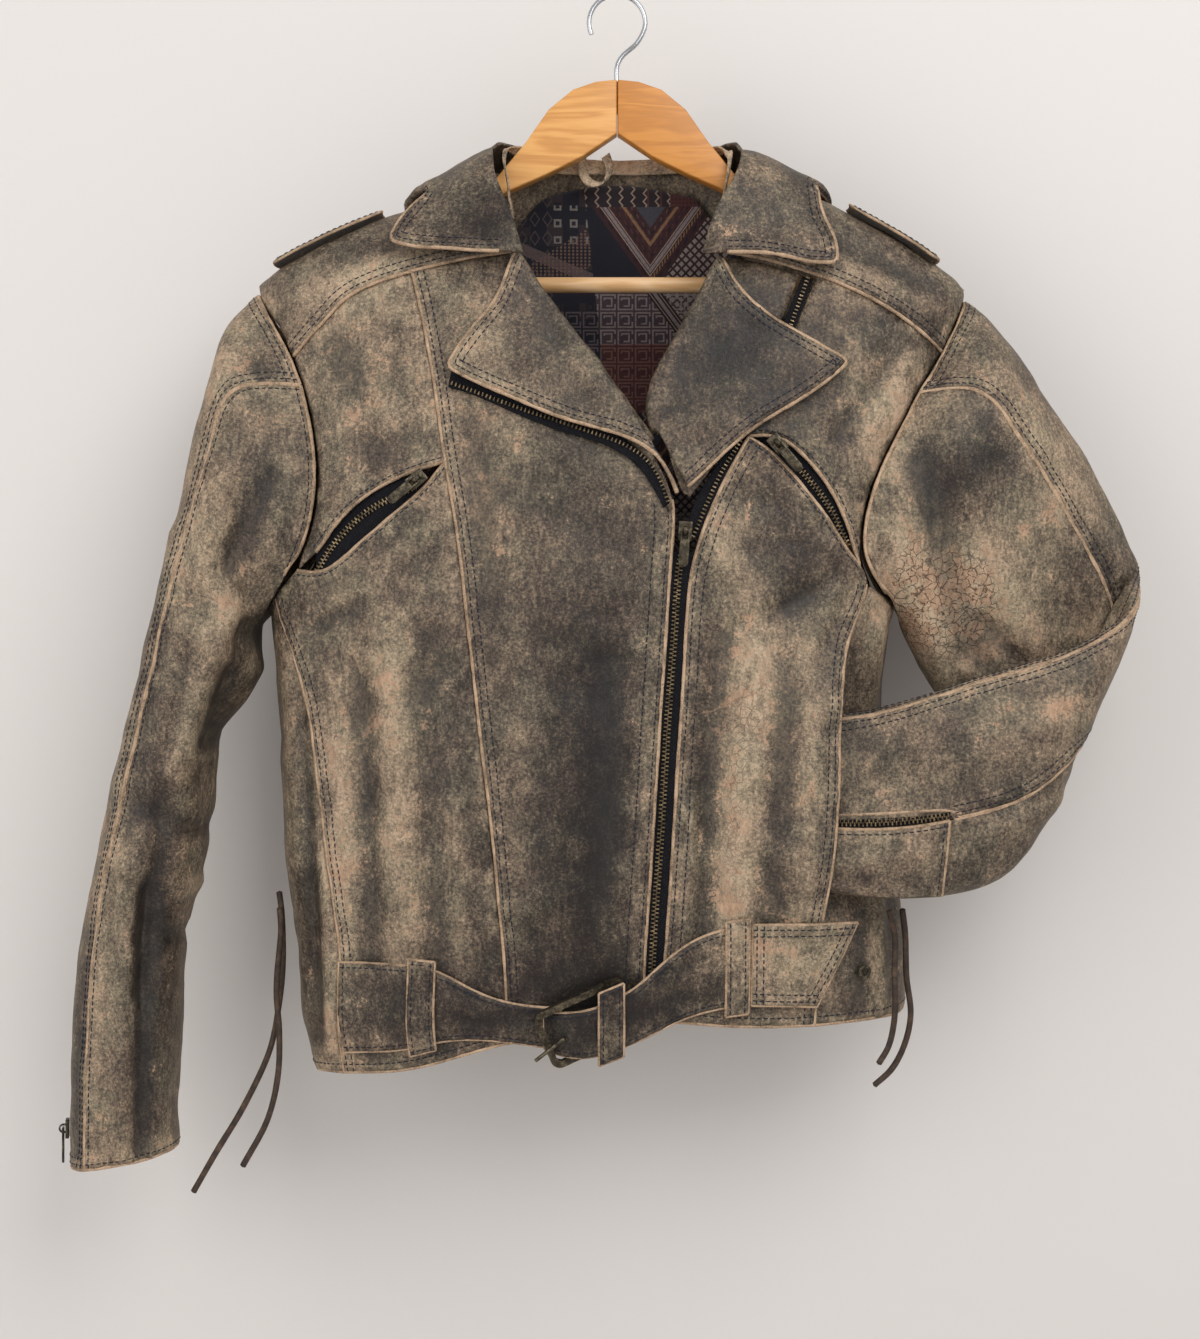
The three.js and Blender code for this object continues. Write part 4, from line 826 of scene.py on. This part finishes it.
# ---- leather finish ----
def wornLeather(name, shade=0.0, warm=0.0):
    # charcoal finish rubbed through to tan, more along seams and on ridges, with painted shade darkening the
    # crease troughs
    board = Board(name)
    p = board.place()
    rub = board.attribute("rub")
    seam = board.attribute("seamAway")
    fold = board.attribute("fold")
    cloud = board.noise(board.turned(p, stretch=(1, 1, 0.75)), 15, 4, 0.6, 0.5)
    blotch = board.noise(p, 62, 4, 0.6, 0.4)
    brush = board.noise(board.turned(p, stretch=(1, 1, 0.42)), 260, 3, 0.62, 0.3)
    fine = board.noise(p, 520, 3, 0.65)
    dust = board.noise(p, 1500, 2, 0.6)
    hue = board.noise(p, 34, 3, 0.55)
    nearSeam = seam.between(2, 15, 1, 0) * blotch.between(0.4, 0.6, 0.25, 1)
    # ridges are lighter as rubbed wear, and troughs darker as painted shade
    ridge = fold.between(-2.4, 2.6, -1, 1)
    worn = (cloud - 0.5) * 0.46 + (blotch - 0.5) * 0.50 + rub * 1.2
    worn = worn + nearSeam * 0.11 + ridge * 0.10 + (0.485 + shade)
    speck = worn + (brush - 0.5) * 0.48 + (fine - 0.5) * 0.90 + (dust - 0.5) * 0.55
    tan = board.ramp(speck, (0.08, "#1d1512"), (0.30, "#3b3027"), (0.45, "#5c4e41"), (0.58, "#7b6a57"),
                     (0.72, "#9b866f"), (0.90, "#c2a78c"))
    olive = board.ramp(speck, (0.08, "#1a1613"), (0.30, "#373127"), (0.45, "#554d40"), (0.58, "#726855"),
                       (0.72, "#90836b"), (0.90, "#b8a68a"))
    skin = board.mix(hue.between(0.36, 0.66, 0, 0.75) * (1 - warm), tan, olive)
    cell = board.mix(0.014, p, board.noise(p, 60, 3, 0.6))
    cracks = board.cells(cell, 170, "DISTANCE_TO_EDGE")
    bareSkin = (rub + (blotch - 0.5) * 1.5 + (fine - 0.5) * 1.0 + (cloud - 0.5) * 0.5).between(0.25, 0.37)
    crackLine = cracks.between(0.0, 0.10, 1, 0) * rub.between(0.14, 0.26) * fine.between(0.36, 0.55)
    suede = board.ramp(dust * 0.5 + brush * 0.5, (0.34, "#826a56"), (0.5, "#ab8b70"), (0.66, "#c9a88a"))
    skin = board.mix(bareSkin, skin, suede)
    skin = board.mix(crackLine * 0.85, skin, "#2b241e")
    # painted shade: crease troughs (fold below 0) are darkened towards #262523, broken up by fine noise
    troughShade = fold.between(-3.0, -0.6, 0.5, 0) * fine.between(0.3, 0.7, 0.6, 1)
    skin = board.mix(troughShade, skin, "#262523")
    pebble = board.cells(p, 1000, "SMOOTH_F1")
    height = fine * 0.9 + brush * 0.5 + dust * 0.4 + pebble * 0.35 - crackLine * 1.2 - bareSkin * 0.5
    bump = board.bump(height, 0.0005, 0.7, board.bump(blotch + cloud * 0.7, 0.0022, 0.35))
    rough = speck.between(0.2, 0.8, 0.44, 0.78)
    return board.finish(color=skin, rough=rough, normal=bump, shine=0.34)


hideFinish = wornLeather("wornLeather")
darkFinish = wornLeather("darkLeather", -0.10)
facingFinish = wornLeather("facingLeather", 0.2, 0.3)


def rawEdgeLeather():
    board = Board("rawEdge")
    p = board.place()
    patchy = board.noise(p, 70, 4, 0.65)
    fibre = board.noise(p, 900, 3, 0.7)
    value = patchy * 0.55 + fibre * 0.45
    colour = board.ramp(value, (0.32, "#54463a"), (0.43, "#8c7660"), (0.54, "#b99c80"), (0.7, "#d4ba9d"))
    return board.finish(color=colour, rough=0.85, normal=board.bump(fibre, 0.0005), shine=0.2)


def threadFinish():
    board = Board("navyThread")
    p = board.place()
    fuzz = board.noise(p, 1600, 2, 0.6)
    return board.finish(color=board.ramp(fuzz, (0.35, "#14151f"), (0.7, "#2b2c3c")), rough=0.75,
                        normal=board.bump(fuzz, 0.0002), shine=0.3)


rawEdge = rawEdgeLeather()
thread = threadFinish()
darkPieces = {"collar_leaf", "belt_right", "belt_left"}
darkToned = darkPieces | {"epaulette_right", "epaulette_left"}
facingPieces = {"collar_stand", "hang_loop"}


# ---- raw edges and stitches ----
def surfaceTree(o):
    p = pointsOf(o.data)
    return BVHTree.FromPolygons([tuple(q) for q in p], [tuple(f.vertices) for f in o.data.polygons])


def faceNormals(tree, line):
    return unit(softened(np.array([tuple(tree.find_nearest(Vector(q))[1]) for q in line]), 3))


def gather():
    return {"points": [], "faces": [], "count": 0}


def pile(heap, points, faces):
    base = heap["count"]
    heap["points"].append(np.asarray(points))
    heap["faces"] += [tuple(base + v for v in f) for f in faces]
    heap["count"] += len(points)


def heapMesh(name, heap, material, slot, smooth=True):
    o = meshOf(name, np.vstack(heap["points"]), heap["faces"], material, smooth)
    hangOn(o, slot)
    return o


def stitchShape():
    # one stitch: a short thread that dips into the leather at both ends
    # each row: how far along, its size, and its rise
    rows = [(-0.5, 0.35, -0.45), (-0.34, 0.85, 0.12), (0.0, 1.0, 0.42), (0.34, 0.85, 0.12),
            (0.5, 0.35, -0.45)]
    sides = seamLook["threadSides"]
    radius = seamLook["thread"] / 2
    points, faces = [], []
    for along, size, rise in rows:
        for k in range(sides):
            a = 2 * math.pi * k / sides
            across, up = math.cos(a) * size, math.sin(a) * size + rise
            points.append((along * seamLook["stitch"], across * radius, up * radius))
    for j in range(len(rows) - 1):
        for k in range(sides):
            m = (k + 1) % sides
            faces.append((j * sides + k, j * sides + m, (j + 1) * sides + m, (j + 1) * sides + k))
    faces.append(tuple(reversed(range(sides))))
    faces.append(tuple(range((len(rows) - 1) * sides, len(rows) * sides)))
    return np.array(points) * mm, faces


stitchPoints, stitchFaces = stitchShape()


def insetLine(tree, line, normals, distance):
    # the line moved in over the leather by a distance, and laid on its surface
    side = np.cross(normals, unit(np.gradient(line, axis=0)))

    def nearest(q):
        spot = tree.find_nearest(Vector(q))[0]
        return spot, (spot - Vector(q)).length

    def miss(sign):
        probes = list(zip(line, side))[2:-2:5]
        return sum(nearest(q + sign * s * seamLook["probe"] * mm)[1] for q, s in probes)

    sign = 1 if miss(1) < miss(-1) else -1
    out = []
    for q, s in zip(line, side):
        spot, away = nearest(q + sign * s * distance)
        if away < seamLook["reach"] * mm:
            out.append(tuple(spot))
    return np.array(out)


def sewRow(heap, tree, line):
    count = int(lineLength(line) / ((seamLook["stitch"] + seamLook["gap"]) * mm))
    if count < 2:
        return
    spots = evenly(line, count + 1)
    for a, b, n in zip(spots[:-1], spots[1:], faceNormals(tree, spots)):
        t = unit(b - a)
        s = unit(np.cross(n, t))
        up = np.cross(t, s)
        turn = np.stack([t, s, up], axis=1)
        pile(heap, stitchPoints @ turn.T + (a + b) / 2 + up * seamLook["rise"] * mm, stitchFaces)


leftCuffZip = {"side": 223, "front": -40, "top": -556, "bottom": -600,
               "above": [[228, -566.4], [216, -564.0], [176, -566.6], [134, -568.4]], "steps": 30}


def clearOfCuffZip(name, line):
    # the forearm's seam stops where the left cuff's zip and panel lie over it
    x, y, z = (line / mm).T
    covered = (x < leftCuffZip["side"]) & (y < leftCuffZip["front"])
    covered &= (z < leftCuffZip["top"]) & (z > leftCuffZip["bottom"])
    return line[~covered] if name.startswith("sleeve_left") else line


def fromFront(tree, x, z):
    # the first place on a sheet behind x and z
    return tree.ray_cast(Vector((x, -0.3, z)), Vector((0, 1, 0)))


def laidOn(tree, flatLine):
    # a line drawn from the front, dropped on the leather behind it
    across, up = np.array(flatLine, float).T
    out = []
    for t in np.linspace(0, len(across) - 1, leftCuffZip["steps"]):
        x, z = [np.interp(t, range(len(across)), v) * mm for v in (across, up)]
        hit = fromFront(tree, x, z)[0]
        if hit:
            out.append(tuple(hit))
    return np.array(out)


def groupOf(name):
    groups = {"sleeve": "sleeve", "cuff": "sleeve", "belt": "belt", "epaulette": "belt",
              "collar": "collar", "lapel": "collar"}
    return groups.get(name.split("_")[0], "body")


seamLines = []
for name, run, rows in runs:
    seamLines.append((name, clearOfCuffZip(name, pointsOf(leatherSheets[name].data)[run]), rows))
cuffEdge = laidOn(surfaceTree(leatherSheets["sleeve_left_back"]), leftCuffZip["above"])
seamLines.append(("sleeve_left_back", cuffEdge, [3.4, 8.0]))
edges, sewn = {}, {}
for name, line, rows in seamLines:
    if len(line) < 3 or lineLength(line) < seamLook["shortest"] * mm:
        continue
    tree = surfaceTree(leatherSheets[name])
    steps = max(4, int(lineLength(line) / (seamLook["beadStep"] * mm)))
    line = softened(evenly(line, steps), 2)
    normals = faceNormals(tree, line)
    group = groupOf(name)
    rough = [1 + 0.22 * noise.noise(Vector(q) * 170) + 0.1 * noise.noise(Vector(q) * 520) for q in line]
    size = (seamLook["slimBead"] if group == "belt" else 1.0) * mm
    middle = line - normals * seamLook["beadSink"] * mm
    bead = sweep(middle, seamLook["bead"] * size, seamLook["beadThick"] * size, seamLook["beadSides"],
                 normals, np.array(rough))
    pile(edges.setdefault(group, gather()), *bead)
    for distance in rows:
        row = insetLine(tree, line, normals, distance * mm)
        if len(row) > 4:
            sewRow(sewn.setdefault(group, gather()), tree, row)

for group, heap in edges.items():
    heapMesh("raw_edges_" + group, heap, rawEdge, "worn_leather")
for group, heap in sewn.items():
    heapMesh("stitches_" + group, heap, thread, "worn_leather")
print("edges and stitches sewn:", {g: len(h["faces"]) for g, h in sewn.items()})


# ---- walls of the leather, and the cut of each piece ----
# the cloth is between these shares of the flat rectangle that it is cut from
cutShare = {"least": 0.32, "most": 0.98, "step": 1.02}
for name, o in leatherSheets.items():
    thicken(o, pieces[name].get("wall", sheetLook["wall"]) * sheetLook["wallShare"])
    o.data.materials.clear()
    finish = darkFinish if name in darkToned else hideFinish
    o.data.materials.append(facingFinish if name in facingPieces else finish)
    hangOn(o, "dark_leather" if name in darkPieces else "worn_leather", name)
    half = halfArea(o)
    wide, tall = flatSizes.get(name, (math.sqrt(half), math.sqrt(half)))
    while half > wide * tall * cutShare["most"]:
        wide, tall = wide * cutShare["step"], tall * cutShare["step"]
    round(max(half, cutShare["least"] * wide * tall), 5)
print("leather finished")


# ---- zips: woven tapes, then rows of cast teeth ----
def tapeFinish():
    board = Board("zipTape")
    x, y, z = board.split(board.place())
    rib = ((x + z) * 2600).sine() * 0.5 + ((x - z) * 2600).sine() * 0.5
    patchy = board.noise(board.place(), 300, 3, 0.6)
    colour = board.ramp(patchy * 0.7 + rib * 0.15 + 0.1, (0.2, "#0a0a0e"), (0.5, "#131318"), (0.8, "#222126"))
    return board.finish(color=colour, rough=0.85, normal=board.bump(rib, 0.0003), shine=0.2)


def agedMetal(name, dark, mid, light, rough):
    board = Board(name)
    p = board.place()
    tarnish = board.noise(p, 240, 4, 0.65)
    scratch = board.noise(p, 1300, 2, 0.5)
    value = tarnish * 0.7 + scratch * 0.3
    colour = board.ramp(value, (0.36, dark), (0.5, mid), (0.66, light))
    dull = tarnish.between(0.35, 0.65, rough + 0.14, rough)
    return board.finish(color=colour, metal=0.85, rough=dull, normal=board.bump(scratch, 0.0002))


tapeCloth = tapeFinish()
toothMetal = agedMetal("toothMetal", "#3a3228", "#6f604a", "#a8946f", 0.34)
antiqueMetal = agedMetal("antiqueMetal", "#26221c", "#4a4337", "#7d715b", 0.36)
tapes = {"zip_tape_right": 1.0, "zip_tape_left": 1.0, "lapel_zip_right": 1.0, "lapel_zip_left": 1.0,
         "pocket_zip_right": 1.0, "pocket_zip_left": 1.0, "cuff_zip_right": 1.2, "cuff_zip_left": 1.2}
tapeTrees = {}
tapeHints = {"cuff_zip_right": rightArmHints, "cuff_zip_left": leftArmHints}
tapeLook = {"faceSize": 4.0, "wallShare": 0.8, "slack": 1.03, "narrowest": 0.012, "spare": 1.2}
for name, wall in tapes.items():
    hints = tapeHints.get(name, bodyHints)
    o = refine(name + "_cloth", outerSheet(name, hints, wall), tapeLook["faceSize"])
    tapeTrees[name] = surfaceTree(o)
    thicken(o, tapeLook["wallShare"] * wall)
    o.data.materials.append(tapeCloth)
    hangOn(o, "zip_tape", name)
    half = halfArea(o)
    long = float(np.linalg.norm(np.ptp(pointsOf(o.data), axis=0))) * tapeLook["slack"]
    wide = max(tapeLook["narrowest"], half / long * tapeLook["spare"])
    round(max(half, cutShare["least"] * wide * long), 6)


# Each row follows [x, z] places. "pair" closes two rows into a chain; else the teeth stand to one side.
zipLook = {"pitch": 2.7, "width": 3.0, "long": 1.25, "tall": 1.7, "bevel": 0.32, "apart": 0.34, "rise": 0.55,
           "steps": 60}
zipRows = [
    (["zip_tape_right", "zip_tape_left"],
     [[42.6, -394], [40.6, -403], [37, -451], [33, -503], [29, -569], [23, -661], [22, -708]], "pair"),
    (["lapel_zip_right"],
     [[-111, -279], [-65, -296.5], [-25, -310], [8, -323], [24, -337], [35, -364]], "low"),
    (["lapel_zip_left"], [[129, -205], [116, -240], [101, -278], [83, -316], [68, -341], [50, -382]], "low"),
    (["pocket_zip_right"], [[-136, -348], [-170, -366], [-190, -385], [-203, -404]], "pair"),
    (["pocket_zip_left"], [[105, -319], [122, -336], [142, -361], [155, -387]], "pair"),
    (["cuff_zip_left"], [[134, -572.6], [176, -572.2], [219, -568]], "pair"),
]


def castTooth():
    # a tooth with a wider head, built at the origin: X across the zip, Y along it, Z out of it
    deselectAll()
    bpy.ops.mesh.primitive_cube_add(size=1, location=(0, 0, 0))
    o = bpy.context.object
    o.name = "castTooth"
    o.scale = (zipLook["width"] * mm, zipLook["long"] * mm, zipLook["tall"] * mm)
    bpy.ops.object.transform_apply(location=False, rotation=False, scale=True)
    bpy.ops.object.mode_set(mode="EDIT")
    bpy.ops.mesh.select_all(action="SELECT")
    bpy.ops.mesh.bevel(offset=zipLook["bevel"] * mm, segments=1)
    bpy.ops.object.mode_set(mode="OBJECT")
    bm = bmesh.new()
    bm.from_mesh(o.data)
    bmesh.ops.triangulate(bm, faces=[f for f in bm.faces if len(f.verts) > 4])
    bm.to_mesh(o.data)
    bm.free()
    shape = pointsOf(o.data), [tuple(f.vertices) for f in o.data.polygons]
    bpy.data.objects.remove(o)
    return shape


toothPoints, toothFaces = castTooth()


def onTapes(trees, x, z):
    # the place on the tapes at x and z, in metres, and the way their surface faces there
    hits = []
    for tree in trees:
        hit = fromFront(tree, x, z)
        if hit[0] is None:
            hit = tree.find_nearest(Vector((x, -0.075, z)))
        hits.append(hit)
    best = min(hits, key=lambda h: abs(h[0].x - x) + abs(h[0].z - z))
    return (x, best[0].y, z), tuple(best[1])


def toothRow(name, line, normals, kind):
    heap = gather()
    apart = zipLook["width"] * zipLook["apart"] * mm if kind == "pair" else 0
    for k, (q, n, t) in enumerate(zip(line, normals, unit(np.gradient(line, axis=0)))):
        side = unit(np.cross(t, n))
        up = np.cross(side, t)
        if up @ n < 0:
            up = -up
        shift = side * apart * (1 if k % 2 else -1) + up * zipLook["rise"] * mm
        pile(heap, toothPoints @ np.stack([side, t, up], axis=1).T + q + shift, toothFaces)
    choose(heapMesh(name, heap, toothMetal, "antique_metal", smooth=False))
    bpy.ops.object.shade_smooth_by_angle(angle=math.radians(40))


for names, way, kind in zipRows:
    trees = [tapeTrees[n] for n in names]
    spots = [onTapes(trees, x * mm, z * mm)[0] for x, z in way]
    route = smoothLine([np.array(s) / mm for s in spots], zipLook["steps"])
    gap = zipLook["pitch"] * (0.5 if kind == "pair" else 1.0) * mm
    route = evenly(route, max(int(lineLength(route) / gap), 3))
    looks = [onTapes(trees, q[0], q[2]) for q in route]
    route[:, 1] = softened(np.array([spot[1] for spot, normal in looks]), 4)
    lean = np.array([normal for spot, normal in looks])
    lean = np.where(lean[:, 1:2] > 0, -lean, lean)
    toothRow(names[0].replace("tape_", "") + "_teeth", route, lean, kind)

# the right cuff's zip runs down the sleeve's outer side
sideTape = tapeTrees["cuff_zip_right"]
levels = {}
for spot, normal, index, away in sideTape.find_nearest_range(Vector((-0.37, -0.007, -0.72)), 0.2):
    levels.setdefault(round(spot.z / mm / 12), []).append(np.array(spot))
sideWay = smoothLine([np.mean(levels[k], axis=0) / mm for k in sorted(levels)], zipLook["steps"])
sideWay = evenly(sideWay, int(lineLength(sideWay) / (zipLook["pitch"] * 0.5 * mm)))
toothRow("cuff_zip_right_teeth", sideWay, faceNormals(sideTape, sideWay), "pair")
print("zips closed")


# ---- sliders, pulls, buckle and eyelet ----
softening = {"weld": 0.02, "flat": 1.5, "sharp": 32, "smooth": 38}


def hardCopy(node, name, rounding, segments, material, slot, body=coatBody):
    # the node's form with soft edges
    bm = bmesh.new()
    bm.from_mesh(nodes[node].data)
    bmesh.ops.remove_doubles(bm, verts=bm.verts, dist=softening["weld"] * mm)
    bmesh.ops.dissolve_limit(bm, angle_limit=math.radians(softening["flat"]), verts=bm.verts, edges=bm.edges)
    bmesh.ops.recalc_face_normals(bm, faces=bm.faces)
    data = nodes[node].data.copy()
    data.name = name
    bm.to_mesh(data)
    bm.free()
    o = linked(name, data)
    choose(o)
    if rounding:
        soft = o.modifiers.new("soft", "BEVEL")
        soft.width = rounding * mm
        soft.segments = segments
        soft.limit_method = "ANGLE"
        soft.angle_limit = math.radians(softening["sharp"])
        soft.use_clamp_overlap = True
        bpy.ops.object.modifier_apply(modifier="soft")
    bpy.ops.object.shade_smooth_by_angle(angle=math.radians(softening["smooth"]))
    o.data.materials.clear()
    o.data.materials.append(material)
    hangOn(o, slot, node, body)


tabBodies = {"zip_pull": "main_tab", "pocket_pull_right": "right_pocket_tab",
             "pocket_pull_left": "left_pocket_tab", "cuff_pull_right": "right_cuff_tab"}
for node in ("zip_slider", "pocket_slider_right", "pocket_slider_left", "cuff_slider_right"):
    hardCopy(node, node + "_cast", 0.35, 2, antiqueMetal, "antique_metal")
for node, body in tabBodies.items():
    hardCopy(node, node + "_cast", 0.3, 2, antiqueMetal, "antique_metal", body)
for node, name, rounding in (("belt_buckle", "buckleFrame", 0), ("buckle_prong", "buckleProng", 0),
                             ("eyelet", "hemEyelet", 0.2)):
    hardCopy(node, name, rounding, 2, antiqueMetal, "antique_metal")
print("metal parts made")


# ---- hanger ----
def pineFinish(name, grainTurn, deep, mid, pale):
    board = Board(name)
    p = board.turned(board.place(), angles=(0, grainTurn, 0), stretch=(1, 4, 9))
    wander = board.noise(p, 6, 3, 0.55, 0.6)
    rings = (wander * 30).sine() * 0.5 + 0.5
    fibre = board.noise(board.turned(p, stretch=(0.5, 1, 5)), 60, 3, 0.6)
    value = rings * 0.5 + fibre * 0.5
    colour = board.ramp(value, (0.22, deep), (0.5, mid), (0.82, pale))
    return board.finish(color=colour, rough=fibre.between(0.3, 0.7, 0.34, 0.46), shine=0.5,
                        normal=board.bump(value, 0.0003, 0.5), coat=0.25, coatRough=0.25)


palePine = pineFinish("palePine", -0.55, "#c98b45", "#d99a50", "#e3a85e")
warmPine = pineFinish("warmPine", 0.55, "#bd7a31", "#c98334", "#d28d3d")
dowelPine = pineFinish("dowelPine", 0.0, "#d3a26a", "#e0b27c", "#eac293")


def steelFinish():
    board = Board("hookSteel")
    brushed = board.noise(board.place(), 900, 3, 0.6)
    return board.finish(color="#b9babc", metal=1.0, rough=brushed.between(0.3, 0.7, 0.2, 0.34))


hookSteel = steelFinish()
hardCopy("hanger_half_right", "palePineArm", 2.4, 4, palePine, "pine_pale")
hardCopy("hanger_half_left", "warmPineArm", 2.4, 4, warmPine, "pine")
hardCopy("hanger_bar", "trouserBar", 0.6, 2, dowelPine, "pine_pale")
hardCopy("hanger_hook", "steelHook", 0, 1, hookSteel, "steel")
print("hanger made")


# ---- lining: woven cloth with a charted pattern ----
def liningFinish():
    # u runs to the right, w down, both in millimetres; the pattern repeats every 160
    board = Board("patternedLining")
    place = board.place()
    x, y, z = board.split(place)
    u = (x * 1000 + 80).modulo(160) - 80
    w = (z * -1000 - 125).modulo(160) + 125
    navy, maroon, rust, mauve = "#1b1c28", "#43252a", "#5d3430", "#574950"
    cream, silver, tan = "#ab9380", "#97898a", "#96704f"

    def inside(value, low, high):
        return (value > low) * (value < high)

    def stripes(value, period, share=0.5):
        return (value / period).fract() < share

    def centred(value, period):
        return (value / period).fract() - 0.5

    def diamonds(a, b):
        return a.abs() + b.abs()

    def squares(a, b):
        return a.abs().highest(b.abs())

    def layered(base, *layers):
        for share, colour in layers:
            base = board.mix(share, base, colour)
        return base

    right = (u + (w - 187) * -0.11) > -17
    # right half, from the neck down
    toApex = w - 188 + (u - 24).abs() * 1.32
    dots = diamonds(centred(u, 4.2), centred(toApex, 5.2))
    lattice = squares(centred(u + w, 6.2), centred(u - w, 6.2)) < 0.33
    inner = u > 24
    cloth = layered(
        board.mix(stripes(toApex, 7.5) * stripes(u, 6), maroon, "#2b1a20"),
        (inside(toApex, -20, -7) * (dots < 0.3), rust),
        (inside(toApex, -33, -23.5) * (dots < 0.26), "#6b4a44"),
        (inside(toApex, -23.5, -20), tan),
        (inside(toApex, -60, -33), "#4b4a52"),
        (inside(toApex, -7.6, -6.4), cream),
        (inside(toApex, -5.4, -1.8), silver),
        (inside(toApex, -0.8, 0.6), cream),
        (inside(toApex, 1.6, 5) * stripes(u, 1.9) * inner, tan),
        ((toApex > 14) * inner * lattice, "#a79a90"),
        ((toApex > 8) * (u < 24), navy))
    # the band of zigzags under the neck
    swing = centred(w, 5.6).abs() * 5
    lines = ((u - swing - 0.5).modulo(8.6) - 1.2).abs() < 0.65
    band = layered(
        board.mix(lines, "#2a2226", cream),
        (inside((u + 6).modulo(9.2), 0, 1.3) * (u > 14), rust),
        (u > 38, board.mix(stripes(w, 2.6) * stripes(u, 2.6), rust, maroon)))
    # keys and blocks lower down
    a = centred(u, 12.5)
    b = centred(w, 12.5)
    away = squares(a, b)
    key = inside(away, 0.36, 0.45) * (1 - (a > 0.3) * inside(b, -0.2, 0.1))
    key = key + inside(away, 0.17, 0.26) * (1 - (a < -0.1) * (b > -0.1))
    low = w > 236
    lowArm = w - 196 - (u - 24) * 1.32
    below = layered(
        board.mix(low, mauve, rust),
        (stripes(u, 1.6) * stripes(w, 1.6), "#3d2c30"),
        (key, board.mix(low, "#a08f8c", "#8a6157")),
        (inside(lowArm.abs(), 0, 7.5), "#2e1c22"),
        (inside(lowArm, -2, 2), silver),
        (inside(lowArm.abs(), 4, 5.2), cream),
        ((lowArm < -7.5) * lattice, "#a79a90"))
    cloth = layered(cloth, (w < 141, band), (w > 197, below))
    # left half: dark, with small squares and hatching
    ring = inside(squares(centred(u + 2, 11.5), centred(w + 3, 11.5)), 0.12, 0.24)
    lozenge = diamonds(centred(u, 9), centred(w, 13))
    ladder = stripes(u, 2.9) * stripes(w, 2.3, 0.62)
    dark = layered(
        board.mix(ring * inside(u, -46, -20) * inside(w, 140, 166), navy, "#8d857f"),
        (stripes(u + 4, 23) * stripes(w + 9, 27, 0.55) * (1 - ring), "#3a2f33"),
        (inside(lozenge, 0.3, 0.42) * (u < -44), "#55494a"),
        (inside(w + u.abs() * 0.4, 193, 201), "#6b5a58"),
        (ladder * inside(w + u * 0.6, 143, 170) * inside(u, -62, -8), "#8a6a5c"),
        (key * (w > 212), "#6f6265"))
    pattern = board.mix(right, dark, cloth)
    weave = (x * 9000).sine() * (z * 9000).sine() * 0.5 + 0.5
    fuzz = board.noise(place, 700, 3, 0.6)
    worn = board.mix(weave * 0.3 + fuzz.between(0.4, 0.75, 0, 0.35), pattern, "#1c171b")
    return board.finish(color=worn, rough=0.62, normal=board.bump(weave + fuzz, 0.0003), shine=0.35,
                        sheen=0.15, sheenRough=0.4)


clothLook = {"wall": 1.0, "faceSize": 5, "thick": 0.8, "swell": 2.2, "ripple": 0.6, "rimWidth": 14,
             "flat": (0.3, 0.32)}
liningSheet = outerSheet("lining_back", bodyHints[:2], clothLook["wall"])
lining = refine("liningCloth", liningSheet, clothLook["faceSize"])
p, n = pointsOf(lining.data), normalsOf(lining.data)
soft = np.abs(waves(p, 24, 5.5) * clothLook["swell"] + waves(p, 70, 2.5) * clothLook["ripple"])
soft *= np.clip(awayFromRim(p, rimLoops(lining.data)[0]) / clothLook["rimWidth"], 0, 1)
movePoints(lining.data, p - n * soft[:, None] * mm)
thicken(lining, clothLook["thick"])
lining.data.materials.append(liningFinish())
hangOn(lining, "lining", "lining_back")
print("lining made")
